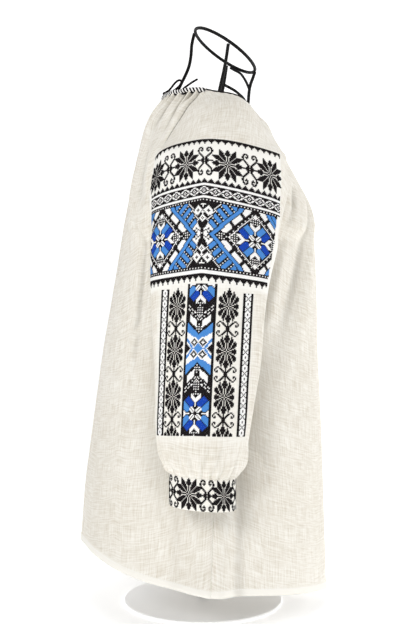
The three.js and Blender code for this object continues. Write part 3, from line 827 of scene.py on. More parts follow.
def cloth_object(name: str, grid: ClothGrid, slit_rows: int = 0) -> Piece:
    """A closed thin shell of cloth from a grid, with an optional slit down its middle column.

    Args:
        name: The object's name.
        grid: The outer surface.
        slit_rows: How many rows the slit runs down from the first.

    Returns:
        The object, with its UV map.
    """
    rows, columns = grid.points.shape[:2]
    index = np.arange(rows * columns).reshape(rows, columns)
    twins = index[:slit_rows, grid.middle]
    owners = np.concatenate([index.ravel(), twins])
    outer = grid.points.reshape(-1, 3)[owners]
    normals = grid.normals.reshape(-1, 3)[owners]
    places = grid.lengths().reshape(-1, 2)[owners]
    right_index = index.copy()
    if slit_rows:
        right_index[:slit_rows, grid.middle] = rows * columns + np.arange(slit_rows)
        parted = SIZES.slit_width / 2 * (1.0 - np.arange(slit_rows) / slit_rows) ** 0.7
        outer[twins, 1] -= parted
        outer[rows * columns :, 1] += parted
    inner = outer - normals * SIZES.cloth
    quads = []
    for c in range(columns - 1):
        table = right_index if c >= grid.middle else index
        quads.append(np.stack([table[:-1, c], table[1:, c], table[1:, c + 1], table[:-1, c + 1]], axis=1))
    quads = np.vstack(quads)
    probe = quads[len(quads) // 3]
    facing = np.cross(outer[probe[1]] - outer[probe[0]], outer[probe[2]] - outer[probe[0]])
    if facing @ normals[probe[0]] < 0:
        quads = quads[:, ::-1]
    count = len(outer)
    edges = {}
    for quad in quads.tolist():
        for start, end in zip(quad, quad[1:] + quad[:1]):
            if edges.pop((end, start), None) is None:
                edges[(start, end)] = True
    rim = [(end, start, start + count, end + count) for start, end in edges]
    faces = [*quads.tolist(), *(quads[:, ::-1] + count).tolist(), *rim]
    obj = make_object(name, np.vstack([outer, inner]), faces)
    add_uv(obj, np.vstack([places, places]))
    return obj


def hollow_depth(grid: ClothGrid, reach: int) -> Array:
    """How far each point lies below the cloth on both sides of it.

    Args:
        grid: The cloth.
        reach: How many columns away the neighbours are.

    Returns:
        A depth for each point, none close to the seams.
    """
    padded = np.pad(grid.points, ((0, 0), (reach, reach), (0, 0)), mode="edge")
    total = np.cumsum(np.insert(padded, 0, 0.0, axis=1), axis=1)
    mean = (total[:, 2 * reach + 1 :] - total[:, : -2 * reach - 1]) / (2 * reach + 1)
    depth = np.einsum("rck,rck->rc", mean - grid.points, grid.normals)
    depth[:, :reach] = depth[:, -reach:] = 0.0
    return depth


def cover_share(grid: ClothGrid, others: Sequence[ClothGrid]) -> Array:
    """How much of the light over each point is kept off by other cloth that stands close over it.

    Args:
        grid: The cloth in the shade.
        others: The cloth over it.

    Returns:
        A share for each point, none where the other cloth lies beside it and not over it.
    """
    spots = np.vstack([other.points[::2, ::2].reshape(-1, 3) for other in others])
    tree = kdtree.KDTree(len(spots))
    for number, spot in enumerate(spots):
        tree.insert(spot, number)
    tree.balance()
    flat = grid.points.reshape(-1, 3)
    apart = spots[[tree.find(point)[1] for point in flat]] - flat
    distance = np.linalg.norm(apart, axis=1)
    over = np.einsum("ij,ij->i", apart, grid.normals.reshape(-1, 3)) / np.maximum(distance, 0.1)
    share = smoothstep(over, 0.05, 0.65) * np.exp(-((distance / SIZES.cover_reach) ** 2))
    return share.reshape(grid.points.shape[:2])


def add_hollow_shade(obj: Piece, grid: ClothGrid, share: float = 1.0, cover: Array | float = 0.0) -> None:
    """Stores painted shade for each point, where little light comes: in seam grooves, creases
    and under other cloth.

    Args:
        obj: The cloth made from the grid.
        grid: Its outer surface.
        share: How strongly its gathers and creases are shaded.
        cover: How much other cloth covers each point.
    """
    height = grid.points[..., 2]
    # Painted shade down in the groove of the raglan seams, above the underarm.
    groove = np.exp(-((grid.to_seam() / SIZES.seam_groove) ** 2))
    groove *= SIZES.groove_shade * smoothstep(height - SIZES.underarm, -6.0, 6.0)
    # Painted shade in creases and gathers, half as strong low on the skirt.
    creases = (SIZES.fine_shade * smoothstep(hollow_depth(grid, 4), 0.06, 1.1)
               + SIZES.wide_shade * smoothstep(hollow_depth(grid, 12), 0.3, 3.2))
    creases *= share * (0.5 + 0.5 * smoothstep(height, 250.0, 400.0))
    # Painted shade under cloth that stands over this one is added on top.
    add_to_both_faces(obj, "hollow", np.minimum(np.maximum(groove, creases) + SIZES.cover_shade * cover, 1.0))


def cloth_relief(base: ClothGrid, gathers: Array, folds: Sequence[Fold]) -> Array:
    """Heights of gathers and creases over a smooth surface, which die away at the seams.

    Args:
        base: The smooth surface.
        gathers: Heights of its gathers.
        folds: Its creases.

    Returns:
        A height for each point.
    """
    across = np.broadcast_to(base.across, gathers.shape)
    relief = gathers
    for crease in folds:
        relief = relief + crease.height(across, base.points[..., 2])
    return relief * smoothstep(1.0 - np.abs(across), 0.0, 0.05)


def seam_dip(base: ClothGrid) -> Array:
    """How far the cloth sinks beside the seams at its two side edges."""
    return -SIZES.seam_dip * np.exp(-((base.to_seam() / SIZES.seam_reach) ** 2))


@dataclass
class Sleeve:
    """One raglan sleeve: a shoulder that opens to the neck, and a tube that is drawn into its cuff."""

    side: Side
    columns: int = 140
    pitch: float = 3.4
    neck: Gathers = Gathers(9, 0.5, 40, 21)
    wrist: Gathers = Gathers(26, 3.2, 66, 5)
    folds: tuple[Fold, ...] = (
        Fold(-0.78, 0.07, 1.6, 610, 500, 0.05), Fold(-0.6, 0.06, 1.1, 470, 330, 0.04),
        Fold(0.72, 0.06, 2.2, 590, 500, 0.06), Fold(0.82, 0.05, -1.8, 585, 505, 0.02),
        Fold(0.62, 0.07, 1.6, 500, 380, 0.05), Fold(0.7, 0.06, -1.3, 460, 330, 0.04),
        Fold(-0.42, 0.08, 1.5, 330, 222, 0.02), Fold(-0.22, 0.06, -1.2, 300, 225, -0.02),
        Fold(0.3, 0.07, 1.6, 320, 222, -0.03), Fold(0.48, 0.06, -1.4, 330, 230, -0.02),
        Fold(0.0, 0.012, 0.5, 640, 440, 0.0),
    )

    def grid(self) -> ClothGrid:
        """The sleeve's outer surface, built on the wearer's left and turned to the side it belongs to."""
        across = np.linspace(-1.0, 1.0, self.columns + 1)
        levels = [self.arc_of(row, across) for row in RAGLAN_ROWS]
        levels += [self._round(row, across) for row in TUBE_ROWS]
        heights = [row.crown for row in RAGLAN_ROWS] + [row.z for row in TUBE_ROWS]
        surface = ClothGrid.over(smooth_rows(levels, heights, self.pitch), -1.0, across)
        wide = np.broadcast_to(across, surface.points.shape[:2])
        down, to_wrist = run_lengths(surface.points, 0), surface.to_hem()
        gathers = self.neck.height(wide, down) + self.wrist.height(wide, to_wrist)
        relief = cloth_relief(surface, gathers, self.folds)
        relief = relief * (0.35 + 0.65 * smoothstep(to_wrist, 2.0, 9.0)) + seam_dip(surface)
        left = surface.raised(relief, -1.0)
        return left if self.side is Side.LEFT else left.mirrored()

    @staticmethod
    def arc_of(row: RaglanRow, across: Array) -> Array:
        """Points of one raglan level, from the back seam to the front one."""
        back, front = np.array(row.back[:2], dtype=float), np.array(row.front[:2], dtype=float)
        crowns = (row.crown, row.back[2], row.front[2])
        return arc_points(back, front, row.half, row.bulge, row.wraps, crowns, 0.0, across)

    @staticmethod
    def _round(row: TubeRow, across: Array) -> Array:
        """Points of one tube level, round from the underarm seam to itself."""
        step, seam = np.array([0.01, 0.0]), np.array([row.x, row.inner])
        return arc_points(seam - step, seam + step, row.half, row.outer - row.inner, True, (row.z,) * 3,
                          row.slope, across)


def smooth_rows(levels: Sequence[Array], heights: Sequence[float], pitch: float) -> Array:
    """A smooth surface through level rows of points, tucked in a little above the first.

    Args:
        levels: The rows, from the top down.
        heights: Their heights.
        pitch: About how far apart the surface's rows are.

    Returns:
        Its points, rows by columns by 3.
    """
    tuck = levels[0] + (levels[0] - levels[1]) * 0.28
    return monotone_curve(np.stack([tuck, *levels]), row_places([heights[0] + 4, *heights], pitch))


def arc_points(back: Array, front: Array, half: float, bulge: float, wraps: bool,
               heights: Point, slope: float, across: Array) -> Array:
    """Points of an arc in plan that bulges outwards between two seam points.

    Args:
        back: The back seam in plan, as x and lateral.
        front: The front seam in plan.
        half: The arc's half width.
        bulge: Its height over the chord.
        wraps: Whether it turns past a half turn.
        heights: Heights of the crown, the back seam and the front seam.
        slope: Rise of the whole arc towards the front.
        across: Places between the seams, from -1 to 1.

    Returns:
        One point for each place, on the wearer's left.
    """
    chord = front - back
    span = float(np.linalg.norm(chord))
    forward = chord / span
    outward = np.array([-forward[1], forward[0]])
    narrow = math.asin(span / 2 / half)
    turn = math.pi - narrow if wraps else narrow
    depth = bulge / (1.0 - math.cos(turn))
    centre = (back + front) / 2 - outward * depth * math.cos(turn)
    angle = across * turn
    ahead = half * np.sin(angle)
    plan = centre + ahead[:, None] * forward + (depth * np.cos(angle))[:, None] * outward
    seam_z = np.where(across < 0, heights[1], heights[2])
    share = (1.0 - np.cos(angle)) / (1.0 - math.cos(turn))
    z = heights[0] + share * (seam_z - heights[0]) + slope * ahead
    return np.column_stack([plan, z])


@dataclass(frozen=True)
class Panel:
    """The front or the back of the body, from the bound neck edge to the hem.

    Attributes:
        facing: 1 for the front, -1 for the back.
        outline: Height and x down its middle.
        pinch: How much its sides are drawn in towards the hem.
        sweep: How much sooner the hem drops away from the middle.
        gathers: The pleats under the neck binding.
        folds: Its creases, the long soft ones of the skirt among them.
        columns: Steps of the cloth between the seams.
        pitch: About how far apart the rows are.
    """

    facing: int
    outline: tuple[tuple[float, float], ...]
    pinch: float
    sweep: float
    gathers: Gathers
    folds: tuple[Fold, ...]
    columns: int = 168
    pitch: float = 3.6

    def grid(self) -> ClothGrid:
        """The panel's outer surface."""
        across = np.linspace(-1.0, 1.0, self.columns + 1)
        levels = [self._level(index, across) for index in range(len(PANEL_LEVELS))]
        heights = [row.crown for row in RAGLAN_ROWS]
        heights += [side_z for _, _, side_z in PANEL_LEVELS[len(heights):]]
        surface = ClothGrid.over(smooth_rows(levels, heights, self.pitch), self.facing, across)
        wide = np.broadcast_to(across, surface.points.shape[:2])
        pleats = self.gathers.height(wide, run_lengths(surface.points, 0))
        hem = 0.5 * smoothstep(SIZES.hem_band + 0.8 - surface.to_hem(), 0.0, 0.8)
        relief = cloth_relief(surface, pleats, self.folds) + hem + seam_dip(surface)
        return surface.raised(relief, self.facing)

    def _level(self, index: int, across: Array) -> Array:
        """Points of one level of the panel, before its folds.

        Args:
            index: The level's number.
            across: Places between the seams, from -1 to 1.

        Returns:
            One point for each place.
        """
        is_front = self.facing > 0
        front_z, back_z, side_z = PANEL_LEVELS[index]
        middle_z = front_z if is_front else back_z
        middle_x = outline_value(self.outline, middle_z, 1)
        flare = drop = 0.0
        if side_z is None:
            row = RAGLAN_ROWS[index]
            seam, degrees = (row.front, row.front_turn) if is_front else (row.back, row.back_turn)
        else:
            seam = (outline_value(SIDE_OUTLINE, side_z, 1), outline_value(SIDE_OUTLINE, side_z, 2), side_z)
            degrees = 90.0
            flare = outline_value(SIDE_OUTLINE, side_z, 3)
            drop = (SIZES.underarm - side_z) / SIZES.underarm
        pinch = 1.0 + drop * self.pinch
        turn = math.radians(degrees)
        angle = across * turn
        inward = (1.0 - np.abs(np.cos(angle)) ** pinch) / (1.0 - max(math.cos(turn), 0.0) ** pinch)
        bump = flare * np.exp(-((degrees * (1.0 - np.abs(across)) / SIZES.flare_spread) ** 2))
        drawn = np.sign(angle) * np.abs(np.sin(angle)) ** pinch
        y = seam[1] * drawn / math.sin(turn) ** pinch + np.sign(across) * bump
        rise = np.abs(np.sin(angle) / math.sin(turn)) ** (2.0 - self.sweep * drop**4)
        return np.column_stack([middle_x + (seam[0] - middle_x) * inward, y,
                                middle_z + (seam[2] - middle_z) * rise])


FRONT = Panel(1, FRONT_OUTLINE, 0.12, 1.2, Gathers(13, 2.0, 90, 11), (
    Fold(-0.22, 0.1, -7.5, 575, 310, -0.46), Fold(-0.36, 0.05, 3.2, 575, 340, -0.42),
    Fold(-0.12, 0.06, 3.6, 585, 360, -0.3), Fold(-0.42, 0.04, -3.4, 545, 400, -0.22),
    Fold(-0.05, 0.03, -3.0, 560, 470, -0.1),
    Fold(-0.2, 0.06, 2.6, 590, 500, 0.04), Fold(-0.68, 0.05, -3.0, 585, 500, -0.02),
    Fold(0.42, 0.075, 4.3, 605, 430, -0.03), Fold(0.6, 0.07, -3.8, 590, 450, -0.02),
    Fold(0.24, 0.06, -2.4, 580, 490, 0.02), Fold(0.76, 0.06, 2.4, 560, 470, 0.0),
    Fold(-0.6, 0.13, 4.2, 330, 16, 0.04, True), Fold(0.55, 0.13, 4.6, 320, 16, -0.04, True),
    Fold(-0.25, 0.1, -3.2, 290, 16, -0.05, True), Fold(0.18, 0.1, -3.0, 260, 16, 0.06, True),
    Fold(-0.93, 0.045, 4.0, 330, 56, 0.0, True), Fold(0.93, 0.045, 3.6, 300, 56, 0.0, True),
    Fold(-0.85, 0.04, -1.6, 260, 56, 0.01, True), Fold(0.85, 0.04, -1.6, 240, 56, -0.01, True),
    Fold(-0.44, 0.035, 1.1, 420, 300, 0.05), Fold(0.33, 0.03, 1.0, 400, 290, -0.05),
))

BACK = Panel(-1, BACK_OUTLINE, 0.34, 0.0, Gathers(15, 5.6, 170, 3), (
    Fold(-0.42, 0.08, 3.8, 662, 470, -0.05), Fold(-0.62, 0.07, -3.6, 650, 500, -0.04),
    Fold(-0.8, 0.05, 2.4, 640, 520, -0.02), Fold(-0.26, 0.05, -2.2, 655, 540, -0.03),
    Fold(0.38, 0.08, 3.8, 655, 460, 0.05), Fold(0.64, 0.07, -3.2, 645, 490, 0.04),
    Fold(0.8, 0.05, 2.2, 635, 515, 0.02), Fold(0.22, 0.05, -2.0, 650, 535, 0.02),
    Fold(-0.52, 0.05, -3.6, 590, 230, 0.02), Fold(-0.66, 0.05, 3.0, 570, 290, 0.03),
    Fold(0.54, 0.05, -3.4, 580, 250, -0.02), Fold(0.67, 0.05, 2.8, 560, 300, -0.03),
    Fold(-0.5, 0.14, 4.2, 360, 65, -0.03, True), Fold(0.5, 0.14, 4.2, 350, 65, 0.03, True),
    Fold(-0.2, 0.09, -3.0, 300, 65, 0.04, True), Fold(0.16, 0.09, -3.2, 320, 65, -0.05, True),
    Fold(-0.8, 0.06, -3.0, 320, 65, 0.03, True), Fold(0.8, 0.06, -3.0, 300, 65, -0.03, True),
    Fold(-0.56, 0.03, 1.2, 400, 350, 0.12), Fold(0.6, 0.03, 1.0, 390, 345, -0.1),
), columns=204)


# ---- Charts of the cross stitch ----

# One quarter of each motif, from its middle outwards to the right and upwards; # is a black cross.
ROSETTE = (
    "#......#......",
    "##....##......",
    "##...###......",
    "###.####......",
    "###.####......",
    "##.#####......",
    "#..####.######",
    "#.####.######.",
    "#.###.######..",
    "#.##.######...",
    "#.#.#####.....",
    ".#.####..##...",
    ".##.....#####.",
    "#..###########",
)
SCROLL = (
    "...###..",
    "..##.##.",
    "..#...#.",
    "..###.##",
    "...#..##",
    "......#.",
    ".....##.",
    "....##..",
    "...##...",
    "..##....",
    ".##.....",
    ".##.....",
    "####....",
    ".#######",
)
TALL_ROSETTE = (
    "#........",
    "#........",
    "##.......",
    "##..#....",
    "###.#....",
    "###.##...",
    "##.###...",
    "##.###.#.",
    "#.###.###",
    "#.###.###",
    "#.##.####",
    "#.##.###.",
    "#.#.###..",
    ".#.##..#.",
    ".##..####",
    "#..######",
)
WIDE_SCROLL = (
    "#.....##..",
    "#...##..#.",
    "#..##....#",
    "#.##...#.#",
    "###....##.",
    "##........",
    "##........",
)
CHAIN_TILE = (
    "####...###",
    "##..###..#",
    "#..##.##..",
    ".###.#.###",
    "#..##.##..",
    "##..###..#",
    "####...###",
)
CHAIN_RUNG = ("#...#", ".#.#.", "..#..", ".#.#.", "#...#", ".....", "..#..", "..#..", ".....")


class Chart:
    """A chart of crosses: one letter of a thread for each, or a space for bare cloth."""

    def __init__(self, half_width: int, rows: int) -> None:
        """Starts a bare chart.

        Args:
            half_width: Crosses on each side of the middle one.
            rows: How many rows it has, counted down from the top.
        """
        self.half_width = half_width
        self.cells = np.full((rows, 2 * half_width + 1), " ")

    def put(self, row: int, column: int, letter: str) -> None:
        """Sets one cross, with columns counted from the middle. What falls outside is left out."""
        place = column + self.half_width
        if 0 <= row < self.cells.shape[0] and 0 <= place < self.cells.shape[1]:
            self.cells[row, place] = letter

    def stamp(self, quarter: Sequence[str], row: int, column: int) -> None:
        """Sets a motif of four mirrored quarters around a middle cross.

        Args:
            quarter: The upper right quarter, from the middle outwards and upwards.
            row: Row of the middle cross.
            column: Its column, counted from the middle.
        """
        for up, line in enumerate(reversed(quarter)):
            for out, mark in enumerate(line):
                if mark == "#":
                    for down, side in ((up, out), (-up, out), (up, -out), (-up, -out)):
                        self.put(row + down, column + side, Thread.BLACK.value)

    def line(self, row: int, count: int, letter: str) -> None:
        """Fills whole rows with one thread."""
        self.cells[row : row + count, :] = letter

    def teeth(self, row: int, down: bool, period: int = 6, solid: int = 1) -> None:
        """A black line whose lower or upper edge is cut into teeth.

        Args:
            row: The line's outer row.
            down: Whether the teeth point down.
            period: Crosses from one tooth to the next.
            solid: How many rows the line has before the teeth start.
        """
        point = 3 if down else 2
        for step in range(solid + point + 1):
            at = row + step if down else row - step
            for column in range(-self.half_width, self.half_width + 1):
                offset = abs((column + period // 2) % period - period // 2)
                if step < solid or offset <= 2 * (point - step + solid) // point:
                    self.put(at, column, Thread.BLACK.value)

    def fill(self, row: int, rows: int, letter_at: Callable[[int, int], str]) -> None:
        """Fills rows from a rule of (distance from the middle column, row within the band).

        Args:
            row: The first row.
            rows: How many rows are filled.
            letter_at: Gives the thread's letter.
        """
        for r in range(rows):
            for column in range(-self.half_width, self.half_width + 1):
                self.put(row + r, column, letter_at(column, r))

    def places(self, thread: Thread) -> Array:
        """Rows and columns of every cross in one thread, with columns counted from the middle."""
        found = np.argwhere(self.cells == thread.value)
        return found - np.array([0, self.half_width])


def flower_cross(p: int, q: int, blue_upright: bool) -> str:
    """A cross of the eight-barred blue flower on black ground, from its middle.

    Args:
        p: Crosses to the right of the middle.
        q: Crosses above it.
        blue_upright: Whether the dark bars are the ones nearer the upright axis.

    Returns:
        The thread's letter.
    """
    out, up = abs(p), abs(q)
    reach, lean = out + up, up - out
    main, side = max(out, up), min(out, up)
    if main <= 5:
        return "w" if 1 <= abs(lean) <= 2 and reach >= 3 else "k"
    if side == 0 and main in (6, 7, 8):
        return "w"
    if side <= 4 and 9 <= main - side <= 12:
        return "w"
    if 9 <= reach <= 21 and 1 <= abs(lean) <= 7 and side >= 2:
        return "b" if (lean > 0) == blue_upright else "s"
    if up >= 20 + out:
        return "w"
    if main >= 15 and side < main - 13 and out % 2 == 0 and up % 2 == 0:
        return "w"
    return "k"


def lozenge_cross(out: int, up: int) -> str:
    """A cross of the white middle of the shoulder band, with its small hooks, from its middle.

    Args:
        out: Crosses aside from the middle.
        up: Crosses above or below it.

    Returns:
        The thread's letter.
    """
    hook = {(5, 1), (6, 1), (7, 2), (7, 3), (6, 4), (5, 4), (4, 3), (5, 2), (8, 2), (8, 3), (6, 5),
            (2, 2), (3, 3)}
    petal = out <= 1 and up <= 2 and (out or up)
    return "k" if petal or (out, up) in hook else "w"


def lattice_cross(out: int, up: int) -> str:
    """A cross of the black wedge above or below the middle, which holds two white lozenges.

    Args:
        out: Crosses aside from the middle column.
        up: Crosses above or below the middle row.

    Returns:
        The thread's letter.
    """
    marks = {(0, 25), (1, 25), (2, 25), (0, 24), (0, 23), (0, 18), (1, 18), (0, 17), (0, 19)}
    is_white = (abs(out - 5) + abs(up - 20) in (2, 3, 4) or out + abs(up - 13) in (0, 2, 3)
                or (out, up) in marks)
    return "w" if is_white else "k"


def shoulder_cross(column: int, row: int, half_rows: int = 27) -> str:
    """A cross of the main shoulder band.

    Diagonals run out from the middle: a light blue chevron, white blocks, a dotted black line and
    the lozenge that holds a blue flower. Light blue bars lie between each chevron and the wedges.

    Args:
        column: Column from the middle.
        row: Row from the band's top.
        half_rows: The band's middle row.

    Returns:
        The thread's letter.
    """
    up = abs(row - half_rows)
    out = abs(column)
    folded = out if out <= 46 else 92 - out
    k = folded - round(up * 0.94)
    if k >= 24:
        return flower_cross(folded - 46, row - half_rows, blue_upright=False)
    if k >= 19:
        return "w" if k == 23 or (k == 21 and (folded + up) % 3 == 0) else "k"
    if k >= 11:
        if k in (11, 18):
            return "k"
        if up <= 3:
            return "w" if folded % 2 and up % 2 == 0 and k < 18 else "k"
        return "k" if (folded + up) % 18 < 4 else "w"
    if k >= 6:
        return "s" if k > 6 else "k"
    edge = (up - 6) * 0.62
    if out <= edge:
        return lattice_cross(out, up)
    if out <= edge + 3:
        return "w" if out + up > 14 and (out + up) % 2 == 0 and out <= edge + 2 else "k"
    if out + up <= 14:
        return lozenge_cross(out, up)
    stripe = (out + up - 16) % 9
    if stripe < 5:
        return "s"
    return "w" if stripe == 7 and (up - out) % 4 < 2 else "k"


def strip_cross(column: int, row: int) -> str:
    """A cross of the middle strip, whose pattern runs from one blue flower to the next in 108 rows.

    Args:
        column: Column from the middle.
        row: Row from the strip's top.

    Returns:
        The thread's letter.
    """
    out = abs(column)
    place = row % 108
    r = place if place <= 54 else 108 - place
    if out >= 12:
        return "k"
    w = round(r + 0.9 * out)
    from_middle = 54 - r
    if abs(r - 22) + 1.6 * out <= 6 or abs(r - 37) + 1.3 * out <= 4:
        return "w" if out % 2 == 0 and r % 2 == 0 else "k"
    if r + out <= 21 and r < 18:
        return flower_cross(out, r, blue_upright=True)
    if w < 42:
        if w in (28, 31):
            return "w" if out % 3 else "k"
        return "w" if 34 <= w <= 39 and 3 <= out <= 9 else "k"
    if w == 42:
        return "k"
    if w <= 47 + 0.3 * out or out + from_middle <= 4:
        return "s"
    ring = abs(out - 4) + abs(r - 49)
    if ring <= 3:
        return "k" if ring >= 2 else "w"
    if out >= 8 + from_middle * 0.8:
        return "k"
    if w in (51, 52) and out >= 6:
        return "w"
    return "s" if abs(out - 5.5 - from_middle * 0.75) <= 1.0 else "w"


@dataclass(frozen=True)
class ShoulderChart:
    """Where each band of the shoulder piece starts, counted in rows of crosses from its top."""

    half_width: int = 74
    rows: int = 127
    back_end: int = 65
    front_end: int = 73
    front_end_below: int = 60
    narrows_from: int = 57
    flower_row: int = 23
    flower_pitch: int = 40
    chain_row: int = 47
    main_row: int = 60
    main_rows: int = 55

    def make(self) -> Chart:
        """Charts the whole shoulder piece."""
        chart = Chart(self.half_width, self.rows)
        chart.teeth(0, down=True, solid=2)
        chain, below = self.chain_row, self.main_row + self.main_rows
        chart.teeth(chain - 4, down=False)
        for row, count, letter in (
            (chain - 3, 2, "w"), (chain - 1, 1, "k"), (chain + 7, 1, "k"), (chain + 8, 2, "w"),
            (chain + 10, 1, "k"), (chain + 12, self.main_row - chain - 12, "k"), (below, 1, "k"),
            (below + 2, 1, "k"), (below + 3, 3, "w"), (below + 6, 1, "k"),
        ):
            chart.line(row, count, letter)
        chart.fill(chain, len(CHAIN_TILE), self._chain_cross)
        for row in (chain + 11, below + 1):
            chart.fill(row, 1, lambda column, _: "k" if column % 3 else "w")
        chart.fill(self.main_row, self.main_rows, shoulder_cross)
        chart.teeth(below + 7, down=True)
        self._trim_ends(chart)
        for step in range(-3, 4):
            motif = SCROLL if step % 2 == 0 else ROSETTE
            chart.stamp(motif, self.flower_row + (2 if step else 0), step * self.flower_pitch // 2)
        return chart

    def _trim_ends(self, chart: Chart) -> None:
        """Ends the bands behind and in front. The front end draws in towards the lower edge.

        Args:
            chart: The chart that is trimmed.
        """
        for row in range(self.rows):
            drawn_in = max(0.0, (row - self.narrows_from) / (self.rows - self.narrows_from))
            top_end = self.front_end - (4 if row > self.narrows_from else 0)
            front = round(top_end - (top_end - self.front_end_below) * drawn_in)
            chart.cells[row, chart.half_width + front :] = " "
            chart.cells[row, : chart.half_width - self.back_end] = " "

    @staticmethod
    def _chain_cross(column: int, row: int) -> str:
        """A cross of the interlaced chain, white on black."""
        return "k" if CHAIN_TILE[row][(abs(column) + 5) % 10] == "#" else "w"


@dataclass(frozen=True)
class StripChart:
    """The upright strips below the shoulder piece: one of blue flowers, two of sprigs, two of chain."""

    rows: int = 127
    half_width: int = 46
    middle_half: int = 13
    sprig_column: int = 24
    chain_columns: tuple[int, int] = (-38, 41)
    chain_rows: tuple[int, int] = (4, 7)
    sprig_row: int = 18
    sprig_pitch: int = 38

    def make(self) -> Chart:
        """Charts the strips side by side."""
        chart = Chart(self.half_width, self.rows)
        for row in range(self.rows):
            for column in range(-self.middle_half, self.middle_half + 1):
                chart.put(row, column, strip_cross(column, row))
        for side, middle, top in zip((-1, 1), self.chain_columns, self.chain_rows):
            for row in range(self.sprig_row, self.rows + self.sprig_pitch, self.sprig_pitch):
                chart.stamp(TALL_ROSETTE, row, side * self.sprig_column)
                chart.stamp(WIDE_SCROLL, row + self.sprig_pitch // 2, side * self.sprig_column)
            for row in range(top, self.rows):
                for out in (3, 4):
                    chart.put(row, middle - out, "k")
                    chart.put(row, middle + out, "k")
                for offset, mark in zip(range(-2, 3), CHAIN_RUNG[row % len(CHAIN_RUNG)]):
                    chart.put(row, middle + offset, "k" if mark == "#" else "w")
        return chart


@dataclass(frozen=True)
class CuffChart:
    """Rosettes and scrolls in turn, five of each round the cuff."""

    pitch: int = 36
    repeats: int = 5
    rows: int = 27

    def make(self) -> Chart:
        """Charts the band, whose two ends meet."""
        around = self.pitch * self.repeats
        chart = Chart(around // 2, self.rows)
        for step in range(-self.repeats, self.repeats + 1):
            motif = SCROLL if step % 2 == 0 else ROSETTE
            chart.stamp(motif, self.rows // 2, step * self.pitch // 2)
        return chart


# ---- Geometry Nodes: stitches on points, and round wire or thread along a line ----


class NodeTool:
    """A Geometry Nodes tree whose result is kept as a plain mesh.

    Attributes:
        tree: The node tree, whose first input is the geometry that it works on.
        given: Its inputs, as the sockets that its nodes read.
    """

    def __init__(self, name: str, inputs: dict[str, tuple[str, object]]) -> None:
        """Starts a tree with its inputs and one output.

        Args:
            name: The tree's name.
            inputs: Kind and usual value of each input after the geometry, by its name.
        """
        self.tree = bpy.data.node_groups.new(name, "GeometryNodeTree")
        for way in ("INPUT", "OUTPUT"):
            self.tree.interface.new_socket("Geometry", in_out=way, socket_type="NodeSocketGeometry")
        for title, (kind, value) in inputs.items():
            socket = self.tree.interface.new_socket(title, in_out="INPUT", socket_type=f"NodeSocket{kind}")
            if value is not None:
                socket.default_value = value
        self.given = add_node(self.tree, "NodeGroupInput").outputs

    def _end(self, geometry: Socket, finish: Socket) -> None:
        """Ends the tree with real copies of the geometry in their finish."""
        plain = add_node(self.tree, "GeometryNodeRealizeInstances", Geometry=geometry)
        dressed = add_node(self.tree, "GeometryNodeSetMaterial", Geometry=plain.outputs[0], Material=finish)
        add_node(self.tree, "NodeGroupOutput", i0=dressed.outputs[0])

    def apply(self, source: Piece, name: str, **inputs: object) -> Piece:
        """Runs the tree on an object and keeps the result as a mesh object.

        Args:
            source: The object that it works on, which is removed.
            name: The new object's name.
            **inputs: Values by the input's name.

        Returns:
            The new object.
        """
        modifier = source.modifiers.new("tool", "NODES")
        modifier.node_group = self.tree
        identifiers = {item.name: item.identifier for item in self.tree.interface.items_tree
                       if item.in_out == "INPUT"}
        for title, value in inputs.items():
            modifier[identifiers[title]] = value
        graph = bpy.context.evaluated_depsgraph_get()
        graph.update()
        mesh = bpy.data.meshes.new_from_object(source.evaluated_get(graph), depsgraph=graph)
        source.modifiers.clear()
        bpy.data.objects.remove(source, do_unlink=True)
        mesh.name = name
        return link_object(name, mesh)


class StitchTool(NodeTool):
    """Sets one stitch on every point, turned by the point's own directions.

    A point carries three vectors: out, away from the cloth; along, the stitch's own X; and size.
    """

    def __init__(self) -> None:
        """Builds the tree."""
        super().__init__("stitches on points", {"Stitch": ("Object", None), "Slant": ("Float", 0.05),
                                                "Seed": ("Int", SEED), "Thread": ("Material", None)})
        tree, given = self.tree, self.given
        out, along, size = (
            add_node(tree, "GeometryNodeInputNamedAttribute", {"data_type": "FLOAT_VECTOR"},
                     Name=name).outputs[0] for name in ("out", "along", "size"))
        turned = add_node(tree, "FunctionNodeAxesToRotation", {"primary_axis": "Z", "secondary_axis": "X"},
                          i0=out, i1=along)
        least = add_node(tree, "ShaderNodeMath", {"operation": "MULTIPLY"}, i0=given["Slant"], i1=-1.0)
        angle = add_node(tree, "FunctionNodeRandomValue", {"data_type": "FLOAT"}, i2=least.outputs[0],
                         i3=given["Slant"], Seed=given["Seed"])
        twist = add_node(tree, "FunctionNodeAxisAngleToRotation", i0=(0.0, 0.0, 1.0), i1=angle.outputs[1])
        rotation = add_node(tree, "FunctionNodeRotateRotation", {"rotation_space": "LOCAL"},
                            i0=turned.outputs[0], i1=twist.outputs[0])
        stitch = add_node(tree, "GeometryNodeObjectInfo", Object=given["Stitch"])
        placed = add_node(tree, "GeometryNodeInstanceOnPoints", Points=given["Geometry"], Scale=size,
                          Instance=stitch.outputs["Geometry"], Rotation=rotation.outputs[0])
        self._end(placed.outputs[0], given["Thread"])

    def stitch(self, name: str, found: Sequence[Stitches], shape: Piece, material: Material,
               slant: float) -> Piece:
        """Makes one piece of many stitches.

        Args:
            name: The piece's name.
            found: Groups of stitches: their middles, directions away from the cloth, directions of
                their own X and scales along their own axes, all in millimetres.
            shape: The stitch, one unit across.
            material: Its thread.
            slant: The most that a stitch is turned at random, in radians.

        Returns:
            The piece.
        """
        middles, out, along, size = (np.vstack(rows) for rows in zip(*found))
        points = make_object(name + ".points", middles, [])
        for title, vectors in (("out", out), ("along", along), ("size", size * MM)):
            add_numbers(points, title, vectors)
        piece = self.apply(points, name, Stitch=shape, Slant=slant, Seed=SEED, Thread=material)
        return settle(piece, material, "linen")


